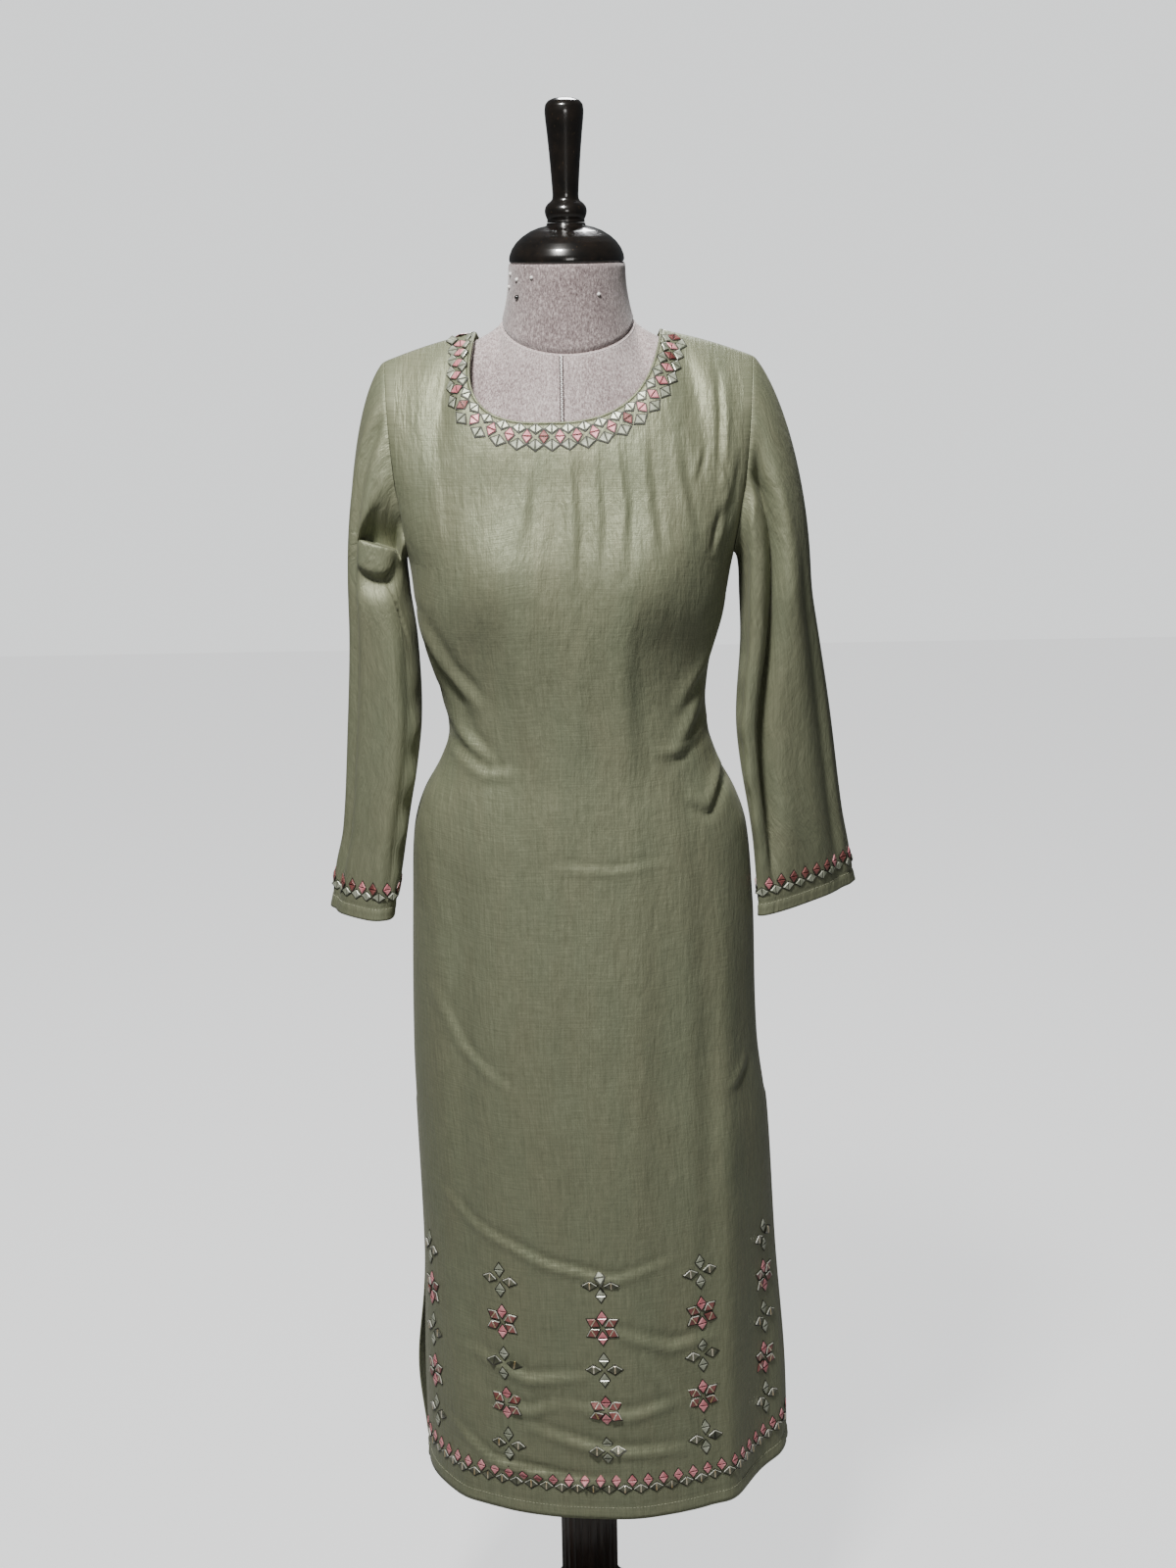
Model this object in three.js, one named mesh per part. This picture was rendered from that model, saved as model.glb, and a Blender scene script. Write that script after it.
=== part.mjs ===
// A long embroidered tunic (kurta) on a limbless dress form.
// Millimetres, +Z up, front towards -Y. Origin: under the middle of the foot block, on the floor.
// Every piece of cloth is a wall, given by an outer and an inner grid of points.

import * as THREE from 'three';

// ---------------------------------------------------------------- driving sizes

const CLOTH = 1.5;                 // wall of the cloth
const SEAM_GAP = 0.3;              // between two pieces that are sewn together
const HEM_Z = 250;                 // front of the hem above the floor
const HEM_LIFT = 16;               // how much the hem rises at its right-hand corner
const SLIT_TOP_Z = 660;            // the side slits start here and run down to the hem
const SLIT_OPEN = 14;              // how far the slit gapes at the hem
const BACK_FLARE = 8;
const ARMPIT_Z = 1222;
const CHEST_Z = 1290;              // above this the columns bend over the shoulder
const ARMHOLE_SHARE = 0.75;        // share of the half section left between the armholes at the chest
const NECK_X = 91;                 // half width of the neckline
const NECK_SIDE_Z = 1438;          // neckline where it meets the shoulder seam
const NECK_FRONT = { y: -77, z: 1356 };
const NECK_BACK = { y: 66, z: 1402 };
const NECK_ROUNDNESS = 0.55;       // how early the neckline turns over the shoulder
const NECK_SQUARENESS = 2.75;      // of the front neckline; 2 would be an ellipse
const NECK_LEAN = -19;             // the front neckline hangs lowest to the left of its middle
const SHOULDER_TIP = { x: 178, z: 1412 };
const NECK_COLUMNS = 7 / 12;       // share of the columns that end on the neckline
const SLEEVE_GAP = 0.7;            // between the armhole and the head of the sleeve
const BINDING_RADIUS = 1.5;        // rolled edging of the neckline
const BINDING_GAP = 0.5;
const BINDING_SIDES = 6;

const PANEL_COLUMNS = 24;
const PANEL_ROWS = 20;             // below the armpit
const ARMHOLE_ROWS = 4;
const SHOULDER_ROWS = 6;
const SLEEVE_SIDES = 2 * (ARMHOLE_ROWS + SHOULDER_ROWS);   // one for each row of the armhole
const SLEEVE_HEAD_ROWS = 5;

// The worn tunic, from the hem up: height, left side, right side, depth of front and of back,
// and squareness of the section (2 is an ellipse).
const BODY_KEYS = [
  [HEM_Z, -170, 214, 145, 140, 2.1],
  [359, -171, 211, 140, 136, 2.1],
  [486, -168, 201, 135, 132, 2.15],
  [641, -171, 192, 130, 128, 2.2],
  [724, -172, 182, 126, 125, 2.2],
  [874, -168, 177, 118, 121, 2.25],
  [948, -164, 171, 114, 114, 2.25],
  [982, -155, 160, 112, 106, 2.25],
  [1019, -135, 140, 110, 96, 2.3],
  [1047, -126, 133, 110, 90, 2.3],
  [1089, -131, 131, 112, 87, 2.35],
  [1139, -148, 140, 117, 88, 2.4],
  [1180, -155, 150, 119, 91, 2.5],
  [ARMPIT_Z, -160, 158, 116, 92, 2.5],
  [1256, -170, 169, 108, 90, 2.6],
  [CHEST_Z, -178, 178, 98, 86, 2.6],
];

// The padded form inside it, in the same six columns.
const FORM_BOTTOM_Z = 690;
const FORM_KEYS = [
  [FORM_BOTTOM_Z, -146, 146, 98, 100, 2.2],
  [760, -156, 158, 105, 110, 2.2],
  [874, -157, 160, 106, 112, 2.2],
  [948, -148, 150, 100, 102, 2.2],
  [1019, -122, 124, 92, 84, 2.2],
  [1065, -112, 112, 88, 75, 2.2],
  [1139, -128, 124, 98, 78, 2.2],
  [ARMPIT_Z, -146, 144, 106, 83, 2.3],
  [CHEST_Z, -158, 158, 90, 78, 2.3],
];
const FORM_NECK_X = 64;            // half width of the neck seam
const FORM_SEAM_SIDE_Z = 1447;
const FORM_SEAM_FRONT = { y: -58, z: 1419 };
const FORM_SEAM_BACK = { y: 56, z: 1450 };
const FORM_SHOULDER = { x: 166, z: 1402 };
const FORM_NECK_COLUMNS = 0.42;
const FORM_NECK_TOP = { radius: 56, z: 1502 };

// Sleeves, from under the armpit down: height, side next to the body, outer side,
// middle depth, half depth, how far the outer side is turned back, squareness.
const SLEEVE_KEYS = {
  left: [
    [1186, 160, 220, 3, 56, 4, 2.2],
    [1141, 154, 221, 4, 54, 8, 2.3],
    [1054, 153, 227, 4, 50, 14, 2.4],
    [948, 170, 236, 2, 46, 20, 2.4],
    [905, 177, 246, 0, 43, 24, 2.4],
    [864, 186, 253, -2, 40, 26, 2.4],
  ],
  right: [
    [1186, 164, 236, 3, 55, 6, 2.2],
    [1141, 165, 244, 4, 48, 14, 2.2],
    [1054, 160, 258, 4, 36, 26, 2.2],
    [948, 175, 272, 5, 26, 34, 2.1],
    [905, 179, 280, 6, 21, 36, 2.0],
    [864, 182, 287, 8, 18, 38, 2.0],
  ],
};
const CUFF_RISE = { left: 0, right: 7 };   // the outer end of the cuff is this much higher

// Stand.
const CAP_PROFILE = [[0, 1502.3], [54, 1502.3], [54.5, 1506], [51, 1515], [44, 1524], [33, 1531],
  [20, 1535], [18, 1536], [18, 1539], [0, 1539]];
const HANDLE_PROFILE = [[0, 1539.3], [12, 1539.3], [17, 1542], [19.5, 1547], [17, 1552], [12.5, 1556],
  [12, 1560], [13, 1580], [15, 1605], [17.4, 1628], [18.3, 1641], [16.6, 1648], [11.5, 1652.6], [0, 1654]];
const COLUMN_RADIUS = 30.5;
const FLUTES = 24;
const FLUTE_DEPTH = 1.6;
const FOOT_BLOCK_PROFILE = [[0, 0], [60, 0], [60, 74], [54, 84], [40, 88], [36, 94], [0, 94]];
const FOOT_BLOCK_TOP_Z = 94;
const LEG_REACH = 280;
const LEG_WIDTH = 36;
const LEG_ROOT_X = 60.6;

// ---------------------------------------------------------------- shared helpers

const lerp = THREE.MathUtils.lerp;
const clamp = THREE.MathUtils.clamp;

// Reads one column of a table of keys at height z, as a smooth curve through its values.
function readKeys(keys, z, column) {
  const rising = keys[0][0] < keys[keys.length - 1][0];
  const table = rising ? keys : [...keys].reverse();
  const last = table.length - 1;
  const height = clamp(z, table[0][0], table[last][0]);
  let k = 0;
  while (k < last - 1 && height > table[k + 1][0]) {
    k += 1;
  }
  const slope = (i) => {
    const lower = table[Math.max(i - 1, 0)];
    const upper = table[Math.min(i + 1, last)];
    return (upper[column] - lower[column]) / (upper[0] - lower[0]);
  };
  const span = table[k + 1][0] - table[k][0];
  const t = (height - table[k][0]) / span;
  const t2 = t * t;
  const t3 = t2 * t;
  return (2 * t3 - 3 * t2 + 1) * table[k][column]
    + (t3 - 2 * t2 + t) * span * slope(k)
    + (3 * t2 - 2 * t3) * table[k + 1][column]
    + (t3 - t2) * span * slope(k + 1);
}

// A soft round ridge (or hollow) of a given size: 1 in the middle, 0 far away.
function bump(distance, width) {
  return Math.exp(-((distance / width) ** 2));
}

function smoothStep(low, high, value) {
  const t = clamp((value - low) / (high - low), 0, 1);
  return t * t * (3 - 2 * t);
}

function bezier(p0, p1, p2, p3, t) {
  return new THREE.CubicBezierCurve3(p0, p1, p2, p3).getPoint(t);
}

// One horizontal section. share runs from -1 (left side) through 0 (middle) to 1 (right side).
function sectionPoint(keys, side, z, share) {
  const left = readKeys(keys, z, 1);
  const right = readKeys(keys, z, 2);
  const depth = readKeys(keys, z, side < 0 ? 3 : 4);
  const angle = share * Math.PI / 2;
  const power = 2 / readKeys(keys, z, 5);
  const across = Math.sign(angle) * Math.abs(Math.sin(angle)) ** power;
  const forward = Math.max(Math.cos(angle), 0) ** power;
  return new THREE.Vector3(
    (left + right) / 2 + across * (right - left) / 2,
    side * depth * forward,
    z,
  );
}

// Builds a closed geometry from an outer and an inner grid. loop joins the last column to the first.
function wallGeometry(outer, inner, loop, flip) {
  const rows = outer.length;
  const columns = outer[0].length;
  const positions = [];
  for (const grid of [outer, inner]) {
    for (const row of grid) {
      for (const point of row) {
        positions.push(point.x, point.y, point.z);
      }
    }
  }
  const id = (layer, r, c) => layer * rows * columns + r * columns + (c % columns);
  const index = [];
  const quad = (a, b, c, d) => {
    if (flip) {
      index.push(a, c, b, a, d, c);
    } else {
      index.push(a, b, c, a, c, d);
    }
  };
  const steps = loop ? columns : columns - 1;
  for (let r = 0; r < rows - 1; r += 1) {
    for (let c = 0; c < steps; c += 1) {
      quad(id(0, r, c), id(0, r, c + 1), id(0, r + 1, c + 1), id(0, r + 1, c));
      quad(id(1, r, c), id(1, r + 1, c), id(1, r + 1, c + 1), id(1, r, c + 1));
    }
  }
  for (let c = 0; c < steps; c += 1) {
    const top = rows - 1;
    quad(id(0, 0, c), id(1, 0, c), id(1, 0, c + 1), id(0, 0, c + 1));
    quad(id(0, top, c), id(0, top, c + 1), id(1, top, c + 1), id(1, top, c));
  }
  if (!loop) {
    const end = columns - 1;
    for (let r = 0; r < rows - 1; r += 1) {
      quad(id(0, r, 0), id(0, r + 1, 0), id(1, r + 1, 0), id(1, r, 0));
      quad(id(0, r, end), id(1, r, end), id(1, r + 1, end), id(0, r + 1, end));
    }
  }
  const geometry = new THREE.BufferGeometry();
  geometry.setAttribute('position', new THREE.Float32BufferAttribute(positions, 3));
  geometry.setIndex(index);
  geometry.computeVertexNormals();
  return geometry;
}

// Unit normals of a grid, pointing away from the face order (row direction x column direction).
function gridNormals(grid, loop) {
  const rows = grid.length;
  const columns = grid[0].length;
  return grid.map((row, r) => row.map((_, c) => {
    const below = grid[Math.max(r - 1, 0)][c];
    const above = grid[Math.min(r + 1, rows - 1)][c];
    const before = loop ? row[(c + columns - 1) % columns] : row[Math.max(c - 1, 0)];
    const after = loop ? row[(c + 1) % columns] : row[Math.min(c + 1, columns - 1)];
    const up = above.clone().sub(below);
    const along = after.clone().sub(before);
    return along.cross(up).normalize();
  }));
}

function makeMesh(name, geometry, color, roughness, metalness) {
  const material = new THREE.MeshStandardMaterial({ color, roughness, metalness });
  const mesh = new THREE.Mesh(geometry, material);
  mesh.name = name;
  return mesh;
}

// ---------------------------------------------------------------- tunic body

// How far the worn cloth stands out (+) or in (-) of its plain section.
function clothRelief(side, x, z) {
  const bust = 9 * (bump(x - 76, 44) + bump(x + 76, 44)) * bump(z - 1214, 48);
  const underBust = -7 * (bump(x - 88, 30) + bump(x + 88, 30)) * bump(z - 1120, 62);
  const skirt = smoothStep(1000, 760, z);
  const rightFold = 6 * bump(x - lerp(152, 146, (z - HEM_Z) / 700), 14) * skirt;
  const behindFold = -26 * bump(x - 188, 26) * smoothStep(760, 300, z);
  const leftFold = 4 * bump(x + lerp(128, 140, (z - HEM_Z) / 700), 16) * skirt;
  const middleFold = 3 * bump(x - lerp(48, 20, (z - HEM_Z) / 700), 34) * skirt;
  if (side < 0) {
    return bust + underBust + rightFold + behindFold + leftFold + middleFold;
  }
  return rightFold + leftFold + 4 * bump(x, 30) * skirt - 6 * bump(x, 40) * bump(z - 1090, 70);
}

// The slit edges of front and back part a little below the slit's top, and the left edge of the
// back flares out past the front.
function partAtSlit(point, side, share) {
  const fall = clamp((SLIT_TOP_Z - point.z) / (SLIT_TOP_Z - HEM_Z), 0, 1);
  const edge = Math.abs(share) ** 8;
  point.y += side * SLIT_OPEN * fall * fall * edge / 2;
  if (side > 0 && share < 0) {
    point.x -= BACK_FLARE * bump(point.z - 350, 70) * edge;
  }
}

// Share of the half section that is left between the armholes, at armhole angle w.
function armholeShare(w) {
  return 1 - (1 - ARMHOLE_SHARE) * Math.sin(w);
}

// A point of the tunic between hem and chest.
function lowerPoint(side, share, z, squeeze) {
  const point = sectionPoint(BODY_KEYS, side, z, share * squeeze);
  const relief = clothRelief(side, point.x, z) * (1 - Math.abs(share) ** 6);
  point.y += side * relief;
  partAtSlit(point, side, share);
  return point;
}

// The line that the top of a panel follows: neckline in the middle, shoulder seam outside it.
function topPoint(side, share) {
  const amount = Math.abs(share);
  const hand = Math.sign(share) || 1;
  const neck = side < 0 ? NECK_FRONT : NECK_BACK;
  if (amount <= NECK_COLUMNS) {
    const angle = (amount / NECK_COLUMNS) * Math.PI / 2;
    const power = side < 0 ? 2 / NECK_SQUARENESS : 1;
    const depth = Math.max(Math.cos(angle), 0) ** power;
    const lean = side < 0 ? NECK_LEAN * depth : 0;
    return new THREE.Vector3(
      hand * NECK_X * Math.sin(angle) ** power + lean,
      neck.y * depth ** NECK_ROUNDNESS,
      NECK_SIDE_Z - (NECK_SIDE_Z - neck.z) * depth,
    );
  }
  const out = (amount - NECK_COLUMNS) / (1 - NECK_COLUMNS);
  return new THREE.Vector3(
    hand * lerp(NECK_X, SHOULDER_TIP.x, out),
    0,
    lerp(NECK_SIDE_Z, SHOULDER_TIP.z, out) + 2 * Math.sin(Math.PI * out),
  );
}

// A point between the chest (t = 0) and the top of the panel (t = 1).
function upperPoint(side, share, t) {
  const amount = Math.abs(share);
  const hand = Math.sign(share) || 1;
  const start = lowerPoint(side, share, CHEST_Z, ARMHOLE_SHARE);
  const end = topPoint(side, share);
  const rise = end.z - start.z;
  const beside = Math.sin(Math.min(amount / NECK_COLUMNS, 1) * Math.PI / 2);
  const pastNeck = clamp((amount - NECK_COLUMNS) / (1 - NECK_COLUMNS), 0, 1);
  const onShoulder = smoothStep(0, 0.22, pastNeck);
  const atArmhole = smoothStep(NECK_COLUMNS, 1, amount);
  const first = start.clone().add(new THREE.Vector3(
    hand * 5 * atArmhole,
    -side * rise * lerp(lerp(0.11, 0.05, beside), -0.03, atArmhole),
    rise * 0.36,
  ));
  const outward = 24 * beside ** 1.5 * (1 - pastNeck) ** 3 - 2 * atArmhole;
  const back = lerp(12, rise * lerp(0.42, 0.3, atArmhole), onShoulder);
  const down = lerp(lerp(20, 11, beside), rise * lerp(0.1, 0.2, atArmhole), onShoulder);
  const second = end.clone().add(new THREE.Vector3(hand * outward, side * back, -down));
  return bezier(start, first, second, end, t);
}

// Heights of the rows under the armpit, closer together where the shape turns.
function lowerRowHeight(row) {
  const t = row / PANEL_ROWS;
  return HEM_Z + (ARMPIT_Z - HEM_Z) * (t + 0.07 * Math.sin(2 * Math.PI * t));
}

function panelGrid(side) {
  const grid = [];
  const shares = [];
  for (let c = 0; c <= PANEL_COLUMNS; c += 1) {
    shares.push((2 * c) / PANEL_COLUMNS - 1);
  }
  for (let r = 0; r <= PANEL_ROWS; r += 1) {
    const z = lowerRowHeight(r);
    const lift = HEM_LIFT * clamp(1 - (z - HEM_Z) / 300, 0, 1);
    grid.push(shares.map((share) => {
      const raise = share > 0 ? lift * share ** 3 : 0;
      return lowerPoint(side, share, z + raise, 1);
    }));
  }
  for (let r = 1; r <= ARMHOLE_ROWS; r += 1) {
    const w = (r / ARMHOLE_ROWS) * Math.PI / 2;
    const z = ARMPIT_Z + (CHEST_Z - ARMPIT_Z) * (1 - Math.cos(w));
    grid.push(shares.map((share) => lowerPoint(side, share, z, armholeShare(w))));
  }
  for (let r = 1; r <= SHOULDER_ROWS; r += 1) {
    grid.push(shares.map((share) => upperPoint(side, share, r / SHOULDER_ROWS)));
  }
  return grid;
}

// Keeps front and back on their own side of the side and shoulder seams.
function keepToSide(point, side) {
  const limit = side * SEAM_GAP / 2;
  point.y = side < 0 ? Math.min(point.y, limit) : Math.max(point.y, limit);
  return point;
}

function panelGeometry(side) {
  const outer = panelGrid(side);
  const normals = gridNormals(outer, false);
  const inner = outer.map((row, r) => row.map((point, c) => {
    const inward = normals[r][c].clone().multiplyScalar(side * CLOTH);
    return keepToSide(point.clone().add(inward), side);
  }));
  for (const row of outer) {
    for (const point of row) {
      keepToSide(point, side);
    }
  }
  return wallGeometry(outer, inner, false, side > 0);
}

// ---------------------------------------------------------------- sleeves

// The armhole as a loop: 0 at the shoulder tip, forward and down to the armpit at 0.5, and back up.
function armholePoint(hand, turn) {
  const side = turn <= 0.5 ? -1 : 1;
  const fromTip = turn <= 0.5 ? turn * 2 : (1 - turn) * 2;
  const tipPart = SHOULDER_ROWS / (SHOULDER_ROWS + ARMHOLE_ROWS);
  if (fromTip <= tipPart) {
    return upperPoint(side, hand, 1 - fromTip / tipPart);
  }
  const w = (1 - (fromTip - tipPart) / (1 - tipPart)) * Math.PI / 2;
  const z = ARMPIT_Z + (CHEST_Z - ARMPIT_Z) * (1 - Math.cos(w));
  return lowerPoint(side, hand, z, armholeShare(w));
}

// A section of the hanging sleeve: turn 0 is its outer side, 0.25 its front, 0.5 the body side.
function sleeveSection(hand, z, turn) {
  const keys = SLEEVE_KEYS[hand < 0 ? 'left' : 'right'];
  const inside = readKeys(keys, z, 1);
  const outside = readKeys(keys, z, 2);
  const angle = turn * 2 * Math.PI;
  const power = 2 / readKeys(keys, z, 6);
  const across = Math.sign(Math.cos(angle)) * Math.abs(Math.cos(angle)) ** power;
  const forward = Math.sign(Math.sin(angle)) * Math.abs(Math.sin(angle)) ** power;
  const x = (inside + outside) / 2 + across * (outside - inside) / 2;
  const y = readKeys(keys, z, 3) - forward * readKeys(keys, z, 4) + across * readKeys(keys, z, 5);
  return new THREE.Vector3(hand * x, y, z);
}

// From the armhole out over the upper arm and down to the first hanging section.
function sleeveHeadPoint(hand, turn, t) {
  const start = armholePoint(hand, turn);
  const low = (1 - Math.cos(turn * 2 * Math.PI)) / 2;
  start.x += hand * SLEEVE_GAP;
  start.z += SLEEVE_GAP * low;
  const keys = SLEEVE_KEYS[hand < 0 ? 'left' : 'right'];
  const end = sleeveSection(hand, keys[0][0], turn);
  const drop = start.z - end.z;
  const first = start.clone().add(new THREE.Vector3(
    hand * lerp(26, 6, low),
    0,
    -drop * lerp(0.12, 0.05, low),
  ));
  const second = end.clone().add(new THREE.Vector3(0, 0, drop * 0.45));
  return bezier(start, first, second, end, t);
}

function sleeveGrid(hand) {
  const keys = SLEEVE_KEYS[hand < 0 ? 'left' : 'right'];
  const rise = CUFF_RISE[hand < 0 ? 'left' : 'right'];
  const turns = [];
  for (let c = 0; c < SLEEVE_SIDES; c += 1) {
    turns.push(c / SLEEVE_SIDES);
  }
  const grid = [];
  for (let r = 0; r <= SLEEVE_HEAD_ROWS; r += 1) {
    grid.push(turns.map((turn) => sleeveHeadPoint(hand, turn, r / SLEEVE_HEAD_ROWS)));
  }
  const top = keys[0][0];
  const bottom = keys[keys.length - 1][0];
  const rows = 9;
  for (let r = 1; r <= rows; r += 1) {
    const z = lerp(top, bottom, r / rows);
    grid.push(turns.map((turn) => {
      const point = sleeveSection(hand, z, turn);
      point.z += rise * Math.cos(turn * 2 * Math.PI) * (r / rows);
      return point;
    }));
  }
  return grid;
}

function sleeveGeometry(hand) {
  const outer = sleeveGrid(hand);
  const normals = gridNormals(outer, true);
  const inner = outer.map((row, r) => row.map((point, c) => (
    point.clone().add(normals[r][c].clone().multiplyScalar(hand * CLOTH))
  )));
  inner[0].forEach((point, c) => {
    point.x = hand * Math.max(hand * point.x, hand * outer[0][c].x);
  });
  return wallGeometry(outer, inner, true, hand > 0);
}

// ---------------------------------------------------------------- neck binding

// A closed ring of tube. Each station has a centre and the two directions of its section.
function ringTube(stations, radius, sides) {
  const positions = [];
  for (const { centre, across, out } of stations) {
    for (let i = 0; i < sides; i += 1) {
      const angle = (i / sides) * Math.PI * 2;
      const point = centre.clone()
        .addScaledVector(across, radius * Math.cos(angle))
        .addScaledVector(out, radius * Math.sin(angle));
      positions.push(point.x, point.y, point.z);
    }
  }
  const index = [];
  const count = stations.length;
  for (let k = 0; k < count; k += 1) {
    for (let i = 0; i < sides; i += 1) {
      const a = k * sides + i;
      const b = k * sides + ((i + 1) % sides);
      const c = ((k + 1) % count) * sides + ((i + 1) % sides);
      const d = ((k + 1) % count) * sides + i;
      index.push(a, b, c, a, c, d);
    }
  }
  const geometry = new THREE.BufferGeometry();
  geometry.setAttribute('position', new THREE.Float32BufferAttribute(positions, 3));
  geometry.setIndex(index);
  geometry.computeVertexNormals();
  return geometry;
}

// A thin roll along the edge of the neckline, with a station at each column of the panels.
function bindingGeometry() {
  const edges = [];
  const half = Math.round(NECK_COLUMNS * PANEL_COLUMNS / 2);
  for (const side of [-1, 1]) {
    const grid = panelGrid(side);
    const top = grid[grid.length - 1];
    const normals = gridNormals(grid, false)[grid.length - 1];
    for (let k = -half; k < half; k += 1) {
      const column = PANEL_COLUMNS / 2 - side * k;
      edges.push({ point: top[column], normal: normals[column].multiplyScalar(-side) });
    }
  }
  const stations = edges.map(({ point, normal }, i) => {
    const next = edges[(i + 1) % edges.length].point;
    const before = edges[(i + edges.length - 1) % edges.length].point;
    const across = normal.clone().cross(next.clone().sub(before)).normalize();
    if (across.x * point.x + across.y * point.y > 0) {
      across.negate();
    }
    const centre = point.clone()
      .addScaledVector(across, BINDING_RADIUS + BINDING_GAP)
      .addScaledVector(normal, -CLOTH / 2);
    return { centre, across, out: normal };
  });
  return ringTube(stations, BINDING_RADIUS, BINDING_SIDES);
}

// ---------------------------------------------------------------- dress form

// The top edge of the form: the neck seam in the middle and the shoulder ridge outside it.
function formTopPoint(side, share) {
  const amount = Math.abs(share);
  const hand = Math.sign(share) || 1;
  const seam = side < 0 ? FORM_SEAM_FRONT : FORM_SEAM_BACK;
  if (amount <= FORM_NECK_COLUMNS) {
    const angle = (amount / FORM_NECK_COLUMNS) * Math.PI / 2;
    return new THREE.Vector3(
      hand * FORM_NECK_X * Math.sin(angle),
      seam.y * Math.cos(angle),
      FORM_SEAM_SIDE_Z + (seam.z - FORM_SEAM_SIDE_Z) * Math.cos(angle),
    );
  }
  const out = (amount - FORM_NECK_COLUMNS) / (1 - FORM_NECK_COLUMNS);
  return new THREE.Vector3(
    hand * lerp(FORM_NECK_X, FORM_SHOULDER.x, out),
    0,
    FORM_SEAM_SIDE_Z - (FORM_SEAM_SIDE_Z - FORM_SHOULDER.z) * out ** 0.7,
  );
}

function formUpperPoint(side, share, t) {
  const amount = Math.abs(share);
  const hand = Math.sign(share) || 1;
  const start = sectionPoint(FORM_KEYS, side, CHEST_Z, share);
  const end = formTopPoint(side, share);
  const rise = end.z - start.z;
  const onShoulder = smoothStep(0.2, 0.6, amount);
  const first = start.clone().add(new THREE.Vector3(0, -side * rise * 0.16, rise * 0.36));
  const back = rise * lerp(0.09, 0.3, onShoulder) * (1 - 0.6 * smoothStep(0.8, 1, amount));
  const second = end.clone().add(new THREE.Vector3(
    hand * 3 * smoothStep(0.7, 1, amount),
    side * back,
    -rise * lerp(0.25, 0.12, onShoulder),
  ));
  return bezier(start, first, second, end, t);
}

// A closed body from rings: each ring a loop of points, closed by a fan at both ends.
function ringBody(rings, bottomCentre, topCentre) {
  const count = rings[0].length;
  const positions = [];
  for (const ring of rings) {
    for (const point of ring) {
      positions.push(point.x, point.y, point.z);
    }
  }
  const bottom = rings.length * count;
  const top = bottom + 1;
  positions.push(bottomCentre.x, bottomCentre.y, bottomCentre.z);
  positions.push(topCentre.x, topCentre.y, topCentre.z);
  const index = [];
  for (let r = 0; r < rings.length - 1; r += 1) {
    for (let c = 0; c < count; c += 1) {
      const next = (c + 1) % count;
      const a = r * count + c;
      const b = r * count + next;
      index.push(a, b, b + count, a, b + count, a + count);
    }
  }
  for (let c = 0; c < count; c += 1) {
    const next = (c + 1) % count;
    const lastRing = (rings.length - 1) * count;
    index.push(bottom, next, c);
    index.push(top, lastRing + c, lastRing + next);
  }
  const geometry = new THREE.BufferGeometry();
  geometry.setAttribute('position', new THREE.Float32BufferAttribute(positions, 3));
  geometry.setIndex(index);
  geometry.computeVertexNormals();
  return geometry;
}

// Front and back share their side points, so each half leaves one of them out.
function torsoRing(pointAt) {
  const half = 18;
  const ring = [];
  for (let i = 0; i < half; i += 1) {
    ring.push(pointAt(-1, (2 * i) / half - 1));
  }
  for (let i = 0; i < half; i += 1) {
    ring.push(pointAt(1, 1 - (2 * i) / half));
  }
  return ring;
}

// The shoulders of the form end in a flat ridge, so this keeps its two sides apart.
function ridgeApart(side, point) {
  const least = 5;
  point.y = side < 0 ? Math.min(point.y, -least) : Math.max(point.y, least);
  return point;
}

function torsoGeometry() {
  const rings = [];
  const lowerRows = 12;
  for (let r = 0; r <= lowerRows; r += 1) {
    const z = lerp(FORM_BOTTOM_Z, CHEST_Z, r / lowerRows);
    rings.push(torsoRing((side, share) => sectionPoint(FORM_KEYS, side, z, share)));
  }
  const upperRows = 6;
  for (let r = 1; r <= upperRows; r += 1) {
    const t = r / upperRows;
    rings.push(torsoRing((side, share) => {
      const point = formUpperPoint(side, share, t);
      const inNeck = Math.abs(share) < FORM_NECK_COLUMNS;
      return inNeck || Math.abs(share) === 1 ? point : ridgeApart(side, point);
    }));
  }
  const bottomCentre = new THREE.Vector3(0, 0, FORM_BOTTOM_Z);
  const topCentre = new THREE.Vector3(0, 0, FORM_SEAM_FRONT.z);
  return ringBody(rings, bottomCentre, topCentre);
}

function neckGeometry() {
  const around = 40;
  const rows = 5;
  const rings = [];
  for (let r = 0; r <= rows; r += 1) {
    const t = r / rows;
    const ease = 1 - (1 - t) ** 2.2;
    const ring = [];
    for (let i = 0; i < around; i += 1) {
      const angle = (i / around) * Math.PI * 2;
      const sideways = Math.sin(angle);
      const forward = Math.cos(angle);
      const seam = forward > 0 ? FORM_SEAM_FRONT : FORM_SEAM_BACK;
      const seamZ = FORM_SEAM_SIDE_Z + (seam.z - FORM_SEAM_SIDE_Z) * Math.abs(forward);
      const seamY = Math.abs(seam.y);
      ring.push(new THREE.Vector3(
        sideways * lerp(FORM_NECK_X, FORM_NECK_TOP.radius, ease),
        -forward * lerp(seamY, FORM_NECK_TOP.radius, ease),
        lerp(seamZ + SEAM_GAP + 0.2, FORM_NECK_TOP.z, t),
      ));
    }
    rings.push(ring);
  }
  const bottomCentre = new THREE.Vector3(0, 0, FORM_SEAM_SIDE_Z + 6);
  const topCentre = new THREE.Vector3(0, 0, FORM_NECK_TOP.z);
  return ringBody(rings, bottomCentre, topCentre);
}

// ---------------------------------------------------------------- stand

function turned(profile, sides) {
  const points = profile.map(([radius, z]) => new THREE.Vector2(radius, z));
  const geometry = new THREE.LatheGeometry(points, sides);
  geometry.rotateX(Math.PI / 2);
  return geometry;
}

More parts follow.
